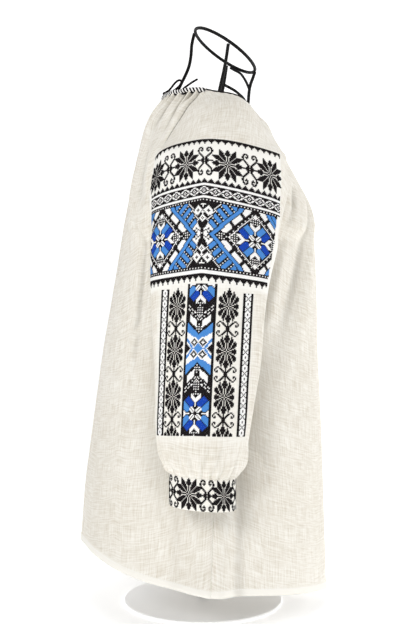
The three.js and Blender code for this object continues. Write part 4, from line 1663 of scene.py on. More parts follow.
class SweepTool(NodeTool):
    """Runs a round section along every line of a mesh."""

    def __init__(self) -> None:
        """Builds the tree."""
        super().__init__("round section along lines", {"Radius": ("Float", 1.0), "Sides": ("Int", 12),
                                                       "Finish": ("Material", None)})
        tree, given = self.tree, self.given
        line = add_node(tree, "GeometryNodeMeshToCurve", Mesh=given["Geometry"])
        section = add_node(tree, "GeometryNodeCurvePrimitiveCircle", Resolution=given["Sides"],
                           Radius=given["Radius"])
        swept = add_node(tree, "GeometryNodeCurveToMesh", Curve=line.outputs[0], Fill_Caps=True,
                         Profile_Curve=section.outputs[0])
        smooth = add_node(tree, "GeometryNodeSetShadeSmooth", Geometry=swept.outputs[0])
        self._end(smooth.outputs[0], given["Finish"])

    def sweep(self, name: str, lines: Sequence[tuple[Array, bool]], radius: float, sides: int,
              material: Material) -> Piece:
        """Makes one piece from one or more lines.

        Args:
            name: The piece's name.
            lines: Each line's points in millimetres, and whether it is closed.
            radius: Radius of the section in millimetres.
            sides: Sides of the section.
            material: Its finish.

        Returns:
            The piece.
        """
        edges, base = [], 0
        for points, closed in lines:
            last = base + len(points) - 1
            edges += [(i, i + 1) for i in range(base, last)] + ([(last, base)] if closed else [])
            base = last + 1
        mesh = bpy.data.meshes.new(name + ".lines")
        mesh.from_pydata((np.vstack([points for points, _ in lines]) * MM).tolist(), edges, [])
        return self.apply(link_object(name + ".lines", mesh), name, Radius=radius * MM, Sides=sides,
                          Finish=material)


@dataclass(frozen=True)
class CrossShape:
    """One cross stitch, one unit square: two thick arms, the second over the first, on their own thread."""

    arm_half: float = 0.32
    reach: float = 0.56
    low: float = 0.18
    high: float = 0.28
    sunk: float = 0.12
    pad_half: float = 0.485
    pad_height: float = 0.1

    def make(self) -> Piece:
        """The stitch as a small mesh that the stitch tool copies: a pad, a flat arm and a ridged arm."""
        corners = ((-1, -1), (1, -1), (1, 1), (-1, 1))
        pad = [(x * self.pad_half, y * self.pad_half, self.pad_height) for x, y in corners]
        along = np.array([1.0, 1.0, 0.0]) * self.reach
        aside = np.array([-1.0, 1.0, 0.0]) * self.arm_half * 0.7071
        up, top, down = (np.array([0.0, 0.0, height]) for height in (self.low, self.high, -self.sunk))
        flat = [end * along + side * aside + up for end, side in corners]
        along, aside = along * np.array([1.0, -1.0, 1.0]), aside * np.array([-1.0, 1.0, 1.0])
        ridge = [end * along + offset for end in (-1, 1) for offset in (down - aside, top, down + aside)]
        faces = [(0, 1, 2, 3), (4, 5, 6, 7), (8, 11, 12, 9), (9, 12, 13, 10)]
        return make_object("cross", np.array([*pad, *flat, *ridge]) / MM, faces)


@dataclass(frozen=True)
class RunningShape:
    """One running stitch, one unit long: a plump bar with sunk ends."""

    thick: float = 0.13
    thin: float = 0.04

    def make(self) -> Piece:
        """The stitch as a small mesh that the stitch tool copies."""
        profile = ((-0.5, self.thin), (-0.3, self.thick), (0.3, self.thick), (0.5, self.thin))
        vertices = [(x, radius * math.cos(math.tau * corner / 6), radius * math.sin(math.tau * corner / 6))
                    for x, radius in profile for corner in range(6)]
        return make_object("running stitch", np.array(vertices) / MM, ring_faces(len(profile), 6))


# ---- Embroidered ground of a sleeve ----


class SleeveGround:
    """Finds places on a sleeve by cloth length across from the embroidery's middle line, and height.

    Attributes:
        MIDDLE_LINE: Heights, and the x of the middle line at each.
        LOWEST: Height of the first level section. They lie 1 mm apart.
        HIGHEST: Height that they end below.
        OUTER_SHARE: Share of the cloth between the seams that the middle line is looked for in.
    """

    MIDDLE_LINE = ((200, -10), (262, -9.7), (350, -5.5), (438, -0.8), (500, -0.5), (560, 2.5), (640, 3.5))
    LOWEST = 216.0
    HIGHEST = 650.0
    OUTER_SHARE = 0.55

    def __init__(self, grid: ClothGrid, side: Side) -> None:
        """Cuts the sleeve into level sections.

        Args:
            grid: The sleeve's outer surface.
            side: The sleeve's side.
        """
        self.side = side
        climbing = (grid.points * side.turn)[::-1]
        self.levels = np.arange(self.LOWEST, self.HIGHEST, 1.0)
        self.x, self.y = (np.stack([
            np.interp(self.levels, np.maximum.accumulate(column[:, 2]), column[:, axis])
            for column in climbing.swapaxes(0, 1)], axis=1) for axis in (0, 1))
        steps = np.hypot(np.diff(self.x, axis=1), np.diff(self.y, axis=1))
        self.lengths = np.cumsum(np.pad(steps, ((0, 0), (1, 0))), axis=1)
        outside = np.flatnonzero(np.abs(grid.across) < self.OUTER_SHARE)
        middles = np.interp(self.levels, *np.array(self.MIDDLE_LINE, dtype=float).T)
        for x, lengths, middle in zip(self.x, self.lengths, middles):
            lengths -= np.interp(middle, x[outside], lengths[outside])
        at_middle = [np.interp(0.0, lengths, y) for lengths, y in zip(self.lengths, self.y)]
        self.climb = runs(np.column_stack([at_middle, self.levels]))

    def heights_down(self, top: float, step: float, count: int) -> Array:
        """Heights along the middle line at even steps of cloth, from the top down."""
        start = np.interp(top, self.levels, self.climb)
        return np.interp(start - step * np.arange(count), self.climb, self.levels)

    def lattice(self, across: Array, z: Array) -> tuple[Array, Array]:
        """Points and outward normals on the sleeve.

        Args:
            across: Cloth lengths from the middle line, one for each column.
            z: Heights, rows by columns.

        Returns:
            Both as rows by columns by 3.
        """
        points = np.empty((*z.shape, 3))
        for axis, sections in enumerate((self.x, self.y)):
            table = np.stack([np.interp(across, run, line) for run, line in zip(self.lengths, sections)])
            for column in range(z.shape[1]):
                points[:, column, axis] = np.interp(z[:, column], self.levels, table[:, column])
        points[..., 2] = z
        points[..., 1] *= self.side.value
        return points, grid_normals(points, -float(self.side.value))


@dataclass(frozen=True)
class Field:
    """A chart laid on a surface: its corner points, their normals and the chart."""

    points: Array
    normals: Array
    chart: Chart

    def crosses(self, thread: Thread) -> Stitches:
        """Middles, outward directions, across directions and sizes of the crosses in one thread.

        Args:
            thread: The thread.

        Returns:
            One row for each cross in all four.
        """
        found = self.chart.places(thread)
        rows, columns = found[:, 0], found[:, 1] + self.chart.half_width
        a, b, c, d = (self.points[rows + i, columns + j] for i in (0, 1) for j in (0, 1))
        across, down = (b + d - a - c) / 2, (c + d - a - b) / 2
        out = unit(self.normals[rows, columns] + self.normals[rows + 1, columns + 1])
        wide = np.linalg.norm(across, axis=1)
        size = np.stack([wide, np.linalg.norm(down, axis=1), np.full(len(wide), 1.1)], axis=1)
        return (a + b + c + d) / 4 + out * 0.08, out, unit(across), size


@dataclass(frozen=True)
class SleeveEmbroidery:
    """The cross stitch of one sleeve and its cuff.

    Attributes:
        side: The sleeve's side.
        stitch: Width of a cross.
        shoulder_top: Height of the shoulder piece's top at its middle line.
        shoulder_row: Height of a cross of the shoulder piece.
        strip_top: Height of the strips' top.
        strip_row: Height of a cross of the strips.
        eased_shoulder: Share of their width that the crosses behind the middle of the shoulder keep.
        eased_strip: The same for the strips.
    """

    side: Side
    stitch: float = 1.4
    shoulder_top: float = 618.0
    shoulder_row: float = 1.46
    strip_top: float = 438.5
    strip_row: float = 1.4
    eased_shoulder: float = 0.81
    eased_strip: float = 0.82
    shoulder: ShoulderChart = ShoulderChart()
    strips: StripChart = StripChart()

    def fields(self, ground: SleeveGround, cuff: "Cuff") -> list[Field]:
        """Lays the three charts on the sleeve and its cuff.

        Args:
            ground: Places on the sleeve.
            cuff: Its cuff.

        Returns:
            The shoulder piece, the strips and the cuff's band.
        """
        chart = self.shoulder.make()
        across, down = self._threads(chart, self.eased_shoulder)
        heights = ground.heights_down(self.shoulder_top, self.shoulder_row, len(down))
        points = ground.lattice(across, heights[:, None] - self._drop(across, down))
        shoulder = Field(*points, chart)
        chart = self.strips.make()
        across, down = self._threads(chart, self.eased_strip)
        heights = ground.heights_down(self.strip_top, self.strip_row, len(down))
        points = ground.lattice(across, heights[:, None] - 0.04 * np.abs(across))
        return [shoulder, Field(*points, chart), cuff.chart_field(CuffChart())]

    def _threads(self, chart: Chart, eased: float) -> tuple[Array, Array]:
        """Where the threads between a chart's crosses run: across, and as a share of the way down."""
        rows, columns = chart.cells.shape
        across = (np.arange(columns + 1) - columns / 2) * self.stitch
        return np.where(across < 0, across * eased, across), np.arange(rows + 1) / rows

    @staticmethod
    def _drop(across: Array, down: Array) -> Array:
        """How far the threads of the shoulder piece have dropped, as its straight threads do.

        Args:
            across: Places across, from the middle line.
            down: Shares of the way down.

        Returns:
            A drop for each place down by each across.
        """
        down = down[:, None]
        soft = 26.0 * (1.0 - smoothstep(down, 0.05, 0.4)) + 1.5
        reach = np.sqrt(across**2 + soft**2) - soft
        behind = np.clip(-across - 36.0, 0.0, None) ** 2 * 0.006
        return (reach * (0.2 - 0.07 * smoothstep(down, 0.45, 1.0))
                + behind * (1.0 - smoothstep(down, 0.0, 0.5)))

    def ground_share(self, grid: ClothGrid, ground: SleeveGround) -> Array:
        """How white the cloth is at each grid point: 1 under the embroidery, 0 beyond it.

        Args:
            grid: The sleeve.
            ground: Places on it.

        Returns:
            A share for each point.
        """
        z = grid.points[..., 2]
        level = np.clip(np.round(z - ground.levels[0]).astype(int), 0, len(ground.levels) - 1)
        across = ground.lengths[level, np.broadcast_to(np.arange(z.shape[1]), z.shape)]
        reach = np.where(across < 0, -across / self.eased_shoulder, across)
        height = z + self._drop(across.ravel(), np.array([0.3]))[0].reshape(z.shape)
        low = self.strip_top + 3.0
        in_shoulder = (smoothstep(self.shoulder.half_width * self.stitch - reach, -2, 3)
                       * smoothstep(self.shoulder_top - height, -2, 3) * smoothstep(height - low, -3, 3))
        in_strips = (smoothstep(self.strips.half_width * self.stitch - reach, -9, 4)
                     * smoothstep(low - height, -3, 3) * smoothstep(z - 254.0, -8, 8))
        return np.clip(in_shoulder + 0.6 * in_strips, 0.0, 1.0)

    def make(self, tool: StitchTool, shape: Piece, finishes: Finishes, fields: list[Field]) -> list[Piece]:
        """Stitches every thread as a piece of its own.

        Args:
            tool: The stitch tool.
            shape: The cross.
            finishes: The materials.
            fields: The charts, laid on the cloth.

        Returns:
            The pieces.
        """
        return [tool.stitch(f"{self.side.word}_{thread.name.lower()}_cross_stitch",
                            [part.crosses(thread) for part in fields], shape, finishes.threads[thread], 0.06)
                for thread in Thread]


# ---- Cuffs, neck binding and drawstring ----


@dataclass(frozen=True)
class Cuff:
    """A doubled band round the wrist, with a rolled lower edge."""

    side: Side
    around: int = 180
    chart_turn: float = 0.12
    chart_row: float = 1.36

    def _section(self) -> list[tuple[float, float]]:
        """The band's outline as (inset from its outer face, height), from inside the top and round."""
        wall, top, high = SIZES.cuff_wall, SIZES.cuff_top, SIZES.cuff_height
        low = top - high
        return [
            (wall, top - 1.2), (wall * 0.75, top - 0.3), (wall * 0.4, top), (0.35, top - 0.3),
            (0.0, top - 1.3), *((0.0, top - high * k / 14) for k in range(1, 14)), (0.05, low + 1.2),
            (0.5, low + 0.3), (wall / 2, low), (wall - 0.4, low + 0.3), (wall, low + 1.2),
            *((wall, low + high * k / 5) for k in range(1, 5)),
        ]

    def _ring(self, inset: float, height: float, angles: Array) -> Array:
        """Points round the wrist.

        Args:
            inset: How far they lie inside the outer face.
            height: Their height.
            angles: Their places round the wrist, from the outer side.

        Returns:
            One point for each angle.
        """
        ahead = (SIZES.cuff_half_width - inset) * np.sin(angles)
        lateral = SIZES.cuff_lateral + (SIZES.cuff_half_depth - inset) * np.cos(angles)
        ripple = 0.35 * np.sin(7 * angles + 0.8) * smoothstep(height, SIZES.cuff_top - 14, SIZES.cuff_top)
        lateral += ripple * np.cos(angles)
        return np.column_stack([SIZES.cuff_x + ahead, self.side.value * lateral,
                                height + SIZES.cuff_slope * ahead])

    def make(self, finishes: Finishes) -> Piece:
        """The cuff with its finish.

        Args:
            finishes: The materials.

        Returns:
            The cuff.
        """
        angles = np.linspace(0.0, math.tau, self.around, endpoint=False)
        section = self._section()
        vertices = np.vstack([self._ring(inset, height, angles) for inset, height in section])
        is_right = self.side is Side.RIGHT
        faces = [(a, d, c, b) if is_right else (b, c, d, a)
                 for a, b, c, d in ring_faces(len(section), self.around, wraps=True)]
        obj = make_object(f"{self.side.word}_linen_cuff", vertices, faces)
        run = math.pi * (SIZES.cuff_half_width + SIZES.cuff_half_depth)
        add_uv(obj, np.array([(run * step / self.around, height) for _, height in section
                              for step in range(self.around)]))
        for name, share in (("ground", 0.45), ("double", 0.8)):
            add_numbers(obj, name, np.full(len(vertices), share))
        return settle(obj, finishes.linen, "linen", f"{self.side.word}_cuff")

    def chart_field(self, chart_rule: CuffChart) -> Field:
        """Lays the cuff's chart all round it.

        Args:
            chart_rule: The chart.

        Returns:
            The chart with its places.
        """
        chart = chart_rule.make()
        rows, columns = chart.cells.shape
        fine = np.linspace(-math.pi, math.pi, 721)
        run = runs(self._ring(0.0, SIZES.cuff_top, fine))
        places = np.linspace(0.0, run[-1], columns)
        angles = np.interp(np.append(places, places[-1] + places[1]), run, fine) + self.chart_turn
        margin = (SIZES.cuff_height - rows * self.chart_row) / 2
        heights = SIZES.cuff_top - margin - self.chart_row * np.arange(rows + 1)
        points = np.stack([self._ring(-0.02, height, angles) for height in heights])
        return Field(points, grid_normals(points, -float(self.side.value)), chart)


@dataclass(frozen=True)
class RopeRun:
    """Frames along a path, for strands that wind round it."""

    path: Array
    normals: Array
    binormals: Array
    lengths: Array

    @classmethod
    def along(cls, path: Array) -> "RopeRun":
        """Carries a frame along an open path without twisting it.

        Args:
            path: Its points.

        Returns:
            The path with its frames.
        """
        tangents = unit(np.gradient(path, axis=0))
        normal = np.array([0.0, 0.0, 1.0])
        normals = []
        for tangent in tangents:
            normal = unit(normal - tangent * float(normal @ tangent))
            normals.append(normal)
        normals = np.array(normals)
        return cls(path, normals, np.cross(tangents, normals), runs(path))

    def strands(self, count: int, radius: float, pitch: float, turn: float = 0.0
                ) -> list[tuple[Array, bool]]:
        """Open lines of strands that wind round the path.

        Args:
            count: How many strands there are.
            radius: How far each one's middle lies from the path.
            pitch: Length of a full turn.
            turn: Where the first one starts, as a share of the step to the next.

        Returns:
            Each line, with False because it is open.
        """
        lines = []
        for number in range(count):
            phase = math.tau * (number + turn) / count
            angle = (math.tau * self.lengths / pitch + phase)[:, None]
            ring = np.cos(angle) * self.normals + np.sin(angle) * self.binormals
            lines.append((self.path + radius * ring, False))
        return lines


@dataclass(frozen=True)
class NeckBinding:
    """The bound neck edge: a thin black cord all round, and a black and cream twist on the gathered back.

    Attributes:
        rise: How far the thin cord lies above the edge.
        lift: The same for the twist.
        stand_out: How far the twist lies outside the edge.
        under: How far below the twist a plain black thread runs.
        end_gap: Space between the two ends at the slit.
        clear: Columns of cloth beside each seam that its line leaves out.
        evened: Columns to either side that it is evened over.
        cord_strand: Radius of each of the thin cord's three strands.
        twist: How far the twist's strands lie from its middle.
        twist_pitch: Length of a full turn of them.
        twist_strands: Radius of its black strands and of its cream ones.
    """

    rise: float = 1.2
    lift: float = -0.8
    stand_out: float = 2.4
    under: float = 3.0
    end_gap: float = 3.0
    clear: int = 6
    evened: int = 6
    cord_strand: float = 0.62
    twist: float = 1.8
    twist_pitch: float = 9.0
    twist_strands: tuple[float, float] = (1.7, 1.6)

    def edge(self, front: ClothGrid, back: ClothGrid, sleeve: ClothGrid) -> tuple[Array, int]:
        """The neck edge on the wearer's left, from the slit to the middle of the front.

        Args:
            front: The front panel.
            back: The back panel.
            sleeve: The left sleeve.

        Returns:
            Its points, and how many of them lie on the back panel.
        """
        half_wall = SIZES.cloth / 2
        edges = []
        for grid, columns in ((back, slice(back.middle, -self.clear)),
                              (sleeve, slice(self.clear, -self.clear)),
                              (front, slice(-self.clear, front.middle, -1))):
            line = grid.points[1, columns] - grid.normals[1, columns] * half_wall
            padded = np.pad(line, ((self.evened, self.evened), (0, 0)), mode="edge")
            even = np.ones(2 * self.evened + 1) / (2 * self.evened + 1)
            smooth = np.column_stack([np.convolve(column, even, "valid") for column in padded.T])
            edges.append(smooth[:: max(1, len(smooth) // 7)])
        left = np.vstack([*edges, front.points[1, front.middle] - np.array([half_wall, 0.0, 0.0])])
        left[0, 1] = self.end_gap / 2
        return left, len(edges[0])

    def make(self, sweeper: SweepTool, finishes: Finishes, edge: Array, on_back: int) -> None:
        """The thin cord and the twist, in black and in cream.

        Args:
            sweeper: The tool that draws thread along a line.
            finishes: The materials.
            edge: The neck edge on the wearer's left.
            on_back: How many of its points lie on the back panel.
        """
        black, cream = finishes.threads[Thread.BLACK], finishes.threads[Thread.WHITE]
        whole = rounded_path([*edge, *(edge[-2::-1] * MIRROR)], 620) + np.array([0.0, 0.0, self.rise])
        strands = RopeRun.along(whole).strands(3, 0.5, 4.0)
        cord = sweeper.sweep("neck_cord", strands, self.cord_strand, 7, black)
        settle(cord, black, "cord", "neck_binding")
        dark, pale = [], []
        for side in (Side.LEFT, Side.RIGHT):
            half = rounded_path(edge[: on_back + 1], 150) * side.turn + np.array([0.0, 0.0, self.lift])
            half += unit(half * np.array([1.0, 1.0, 0.0])) * self.stand_out
            run = RopeRun.along(half)
            dark += run.strands(2, self.twist, self.twist_pitch)
            dark.append((half - np.array([0.0, 0.0, self.under]), False))
            pale += run.strands(2, self.twist, self.twist_pitch, 0.5)
        settle(sweeper.sweep("neck_twist_black", dark, self.twist_strands[0], 8, black), black, "cord")
        settle(sweeper.sweep("neck_twist_cream", pale, self.twist_strands[1], 8, cream), cream, "cord")


@dataclass(frozen=True)
class Drawstring:
    """The thin black cord at the slit: a loop that leans on the back wire, a knot and a free end."""

    radius: float = 1.6
    pitch: float = 5.0
    knot_place: Point = (-54.2, 0.0, 712.7)
    knot_size: float = 0.72
    loop: tuple[Point, ...] = (
        (-52, -2.2, 714.2), (-48.5, -3.8, 715.6), (-44.8, -4.5, 719.5), (-41, -4.6, 724.5),
        (-37, -4.2, 728.6), (-32.8, -3.9, 730.6), (-30, -3.8, 728.6), (-31.6, -4.1, 724.5),
        (-35, -4.2, 720.6), (-39.5, -3.9, 717), (-44, -3, 714.6), (-47.8, -1.6, 713),
        (-51.2, -0.3, 712.3),
    )
    end: tuple[Point, ...] = (
        (-51.6, 2.2, 711.8), (-47.5, 3.6, 710.8), (-42.5, 3.8, 711.4), (-37, 3.6, 713.2),
        (-31, 3.7, 717.5), (-24.5, 4, 723), (-17, 4.3, 728.5), (-8, 4.6, 734),
    )

    def make(self, sweeper: SweepTool, finishes: Finishes) -> None:
        """The three pieces.

        Args:
            sweeper: The tool that draws thread along a line.
            finishes: The materials.
        """
        black = finishes.threads[Thread.BLACK]
        knot = sweeper.sweep("drawstring_knot", [(self._knot_line(), False)], self.radius, 8, black)
        settle(knot, black, "cord", "tie_knot")
        for name, node, points, far_end in (("drawstring_loop", "tie_loop", self.loop, "object"),
                                            ("drawstring_end", "tie_end", self.end, "bare")):
            path = rounded_path(points, 90)
            run = RopeRun.along(path)
            strands = run.strands(3, self.radius * 0.42, self.pitch)
            piece = sweeper.sweep(name, strands, self.radius * 0.58, 7, black)
            settle(piece, black, "cord", node)

    def _knot_line(self) -> Array:
        """An overhand knot drawn tight: a small trefoil-like loop."""
        t = np.linspace(0.0, math.tau * 0.98, 60)
        x = 1.15 * (np.sin(t) + 0.7 * np.sin(2 * t))
        y = 1.15 * (np.cos(t) - 0.7 * np.cos(2 * t))
        return np.column_stack([x, y, 0.9 * np.sin(3 * t)]) * self.knot_size + np.array(self.knot_place)


# ---- Sewing lines ----


@dataclass
class SewingLine:
    """One line of running stitches on the cloth.

    Attributes:
        points: The line on the cloth's outer face.
        normals: Directions away from the cloth along it.
        pitch: Length of a stitch with its gap.
        share: Share of the pitch that the stitch covers.
        thread: Width and height of a stitch, against the tool's unit stitch.
    """

    points: Array
    normals: Array
    pitch: float = 2.6
    share: float = 0.72
    thread: tuple[float, float] = (1.9, 1.5)

    def stitches(self) -> Stitches:
        """Middles, outward directions, directions along and sizes of the stitches."""
        lengths = runs(self.points)
        places = np.arange(self.pitch / 2, lengths[-1], self.pitch)
        middle = along_line(places, lengths, self.points)
        out = unit(along_line(places, lengths, self.normals))
        before, after = (along_line(places + step, lengths, self.points) for step in (-0.5, 0.5))
        size = np.broadcast_to(np.array([self.pitch * self.share, *self.thread]), middle.shape)
        return middle + out * 0.02, out, unit(after - before), size


# ---- Wire form ----


def lathe(profile: Sequence[tuple[float, float]], sides: int) -> Solid:
    """A solid turned round the upright axis.

    Args:
        profile: Radii and heights from the bottom up.
        sides: How many sides it has.

    Returns:
        Its points and its faces.
    """
    angles = np.linspace(0.0, math.tau, sides, endpoint=False)
    rings = [np.column_stack([r * np.cos(angles), r * np.sin(angles), np.full(sides, z)])
             for r, z in profile]
    return np.vstack(rings), ring_faces(len(profile), sides)


@dataclass(frozen=True)
class WireForm:
    """The open wire torso with its pole and foot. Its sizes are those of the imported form.

    Attributes:
        wire: Radius of the rings and of the upright wires.
        twin_wire: Radius of each of the two thinner wires down the back.
        twin_apart: How far each of them lies from their middle line.
        collar_wire: Radius of each of the two that the collar is wound from.
        collar_rise: How far each of them lies above the collar's line.
        brace_wire: Radius of the brace.
        gap: Space left where two wires meet.
        sides: How many sides a wire's section has.
        side_x: Where the side wires run.
        side_places: Places across the sleeve that they run under, the middle one and two beside it.
        under_sleeve: How far they run below the sleeve's outer face.
        rim_middle: Middle of the neck's open top, as x and height.
        rim_half: Its half depth and half width.
        rim_tilt: Degrees that it leans down to the front.
        torso: Height, front and back of the upright wires.
        flanks: Height and half width at the side wires.
    """

    wire: float = 2.25
    twin_wire: float = 1.2
    twin_apart: float = 1.05
    collar_wire: float = 0.95
    collar_rise: tuple[float, float] = (0.9, -1.3)
    brace_wire: float = 1.8
    gap: float = 0.4
    sides: int = 14
    side_x: float = 12.0
    side_places: Point = (-0.27, -0.25, -0.23)
    under_sleeve: float = 5.05
    pole_radius: float = 7.0
    pole_top: float = 262.0
    foot_radius: float = 110.0
    foot_height: float = 4.0
    rim_middle: tuple[float, float] = (31.0, 773.0)
    rim_half: tuple[float, float] = (50.0, 57.5)
    rim_tilt: float = 33.0
    torso: tuple[Point, ...] = (
        (690, 63.5, -47), (668, 76, -60), (645, 92, -71), (620, 105, -79), (595, 118, -84),
        (570, 131, -88), (545, 138, -90), (505, 139, -91), (460, 124, -86), (420, 112, -82),
        (370, 108, -85), (310, 112, -94), (255, 116, -98),
    )
    flanks: tuple[tuple[float, float], ...] = (
        (610, 163), (575, 153), (540, 141), (505, 133), (460, 125), (420, 119), (370, 122),
        (310, 131), (255, 137),
    )
    front_neck: tuple[tuple[float, float], ...] = (
        (73, 742.9), (70, 734), (67, 726), (65, 716), (64, 704),
    )
    back_neck: tuple[tuple[float, float], ...] = (
        (-12.2, 797.5), (-15.7, 782), (-17, 766), (-19.5, 752), (-24, 740), (-30, 728),
        (-35.5, 716), (-40, 704),
    )
    side_neck: tuple[Point, ...] = (
        (34.4, 57.2, 766.6), (31, 57.6, 744), (27.5, 58, 726), (24, 58.2, 711), (21.5, 59.5, 699),
        (19.5, 64, 689),
    )
    collar: tuple[Point, ...] = (
        (28.1, 55.5, 712.5), (43, 48.5, 706), (53, 36, 701), (58.3, 19, 699), (59.4, 0, 698.5),
    )
    brace: tuple[Point, ...] = (
        (40, 53.3, 762.3), (46, 48, 757.5), (53.6, 38, 750.5), (60.7, 22, 736), (65.4, 4.4, 719.5),
    )
    hoops: tuple[tuple[str, float], ...] = (("bust_ring", 505), ("waist_ring", 420), ("hip_ring", 255))

    def make(self, sweeper: SweepTool, finishes: Finishes) -> None:
        """Builds every piece of the form.

        Args:
            sweeper: The tool that draws wire along a line.
            finishes: The materials.
        """
        for node, lines, radius in self._wires():
            wire = sweeper.sweep(node + "_rod", lines, radius, self.sides, finishes.wire)
            settle(wire, finishes.wire, "wire", node)
        self._make_stand(finishes)

    def _wires(self) -> list[tuple[str, list[tuple[Array, bool]], float]]:
        """Each wire's node, its lines with whether they are closed, and its radius."""
        inset = 2 * self.wire + self.gap
        wires = [(node, [(rounded_path(self._hoop(height, inset), 160, closed=True), True)], self.wire)
                 for node, height in self.hoops]
        wires.append(("neck_ring", [(rounded_path(self._rim(), 140, closed=True), True)], self.wire))
        front = [(x, 0, z) for x, z in self.front_neck] + [(x, 0, z) for z, x, _ in self.torso]
        wires.append(("front_wire", [(rounded_path(front, 160), False)], self.wire))
        back = [(x, 0, z) for x, z in self.back_neck] + [(x, 0, z) for z, _, x in self.torso]
        run = RopeRun.along(rounded_path(back, 160))
        twins = [(run.path + run.normals * offset, False) for offset in (-self.twin_apart, self.twin_apart)]
        wires.append(("back_wire", twins, self.twin_wire))
        for side in Side:
            line = rounded_path(self._side_line() * side.turn, 200)
            wires.append((f"{side.word}_wire", [(line, False)], self.wire))
        half = np.array(self.collar)
        whole = rounded_path(np.vstack([half, half[-2::-1] * MIRROR]), 90)
        wound = [(whole + np.array([0.0, 0.0, rise]), False) for rise in self.collar_rise]
        wires.append(("collar_wire", wound, self.collar_wire))
        wires.append(("neck_brace", [(rounded_path(self.brace, 60), False)], self.brace_wire))
        return wires

    def _hoop(self, height: float, inset: float) -> Array:
        """Points round the torso.

        Args:
            height: The hoop's height.
            inset: How far it lies inside the upright wires.

        Returns:
            The points, from the front round by the left.
        """
        heights, fronts, backs = np.array(self.torso[::-1]).T
        flank_heights, halves = np.array(self.flanks[::-1]).T
        front = np.interp(height, heights, fronts) - inset
        back = np.interp(height, heights, backs) + inset
        half = np.interp(height, flank_heights, halves) - inset
        angle = np.linspace(0.0, math.tau, 32, endpoint=False)
        reach = np.where(np.cos(angle) > 0, front, back) - self.side_x
        x = self.side_x + reach * np.abs(np.cos(angle))
        return np.column_stack([x, half * np.sin(angle), np.full(32, height)])

    def _rim(self) -> Array:
        """Points round the neck's open top, which leans down to the front."""
        angle = np.linspace(0.0, math.tau, 32, endpoint=False)
        ahead, tilt = self.rim_half[0] * np.cos(angle), math.radians(self.rim_tilt)
        return np.column_stack([self.rim_middle[0] + ahead * math.cos(tilt), self.rim_half[1] * np.sin(angle),
                                self.rim_middle[1] - ahead * math.sin(tilt)])

    def _side_line(self) -> Array:
        """Points of a side wire: down the neck, under the shoulder of the sleeve, and down the side."""
        arcs = np.stack([Sleeve.arc_of(row, np.array(self.side_places)) for row in RAGLAN_ROWS[:6]])
        under_cloth = arcs - grid_normals(arcs, -1.0) * self.under_sleeve
        down = [(self.side_x, lateral, z) for z, lateral in self.flanks]
        return np.vstack([np.array(self.side_neck), under_cloth[1:5, 1], np.array(down, dtype=float)])

    def _make_stand(self, finishes: Finishes) -> None:
        """The pole, the four spokes that carry the hip ring, and the foot.

        Args:
            finishes: The materials.
        """
        top, r, low = self.pole_top, self.pole_radius, self.foot_height + self.gap
        pole = lathe([(r - 0.6, low), (r, low + 0.6), (r, top - 0.8), (r - 0.8, top)], 48)
        settle(make_object("pole_rod", *pole), finishes.wire, "wire", "pole")
        hip = self.hoops[-1][1]
        hoop = self._hoop(hip, 3 * self.wire + 2 * self.gap)
        for number, word in enumerate(("front", "left", "back", "right")):
            end = hoop[number * 8].copy()
            if word in ("left", "right"):
                end[0] = self.side_x
            start = unit(end * np.array([1.0, 1.0, 0.0])) * (r + self.gap) + np.array([0.0, 0.0, hip])
            rod = make_object(word + "_spoke_rod", *self._level_rod(start, end))
            settle(rod, finishes.wire, "wire", word + "_spoke")
        edge, h = self.foot_radius, self.foot_height
        foot = lathe([(edge - 0.8, 0.0), (edge, 0.8), (edge, h - 1.2), (edge - 0.35, h - 0.35),
                      (edge - 1.2, h), (24.0, h)], 160)
        settle(make_object("foot_plate", *foot), finishes.foot, "foot", "foot")

    def _level_rod(self, start: Array, end: Array) -> Solid:
        """A straight, level wire with flat ends.

        Args:
            start: Middle of its one end.
            end: Middle of the other.

        Returns:
            Its points and its faces.
        """
        up = np.array([0.0, 0.0, 1.0])
        aside = np.cross(unit(end - start), up)
        angles = np.linspace(0.0, math.tau, self.sides, endpoint=False)[:, None]
        ring = self.wire * (np.cos(angles) * up + np.sin(angles) * aside)
        line = np.linspace(start, end, 12)
        return (line[:, None] + ring).reshape(-1, 3), ring_faces(len(line), self.sides)


# ---- Studio ----


@dataclass(frozen=True)
class Lamp:
    """A large soft light that faces the blouse's middle."""

    name: str
    place: Point
    width: float
    watts: float
    colour: str = "#ffffff"
    target: Point = (0.0, 0.0, 0.42)

    def make(self) -> None:
        """Adds the light to the scene."""
        data = bpy.data.lights.new(self.name, "AREA")
        data.shape = "SQUARE"
        data.size = self.width
        data.energy = self.watts
        data.color = linear_colour(self.colour)[:3]
        lamp = link_object(self.name, data)
        lamp.location = self.place
        aim = Vector(self.target) - Vector(self.place)
        lamp.rotation_euler = aim.to_track_quat("-Z", "Y").to_euler()


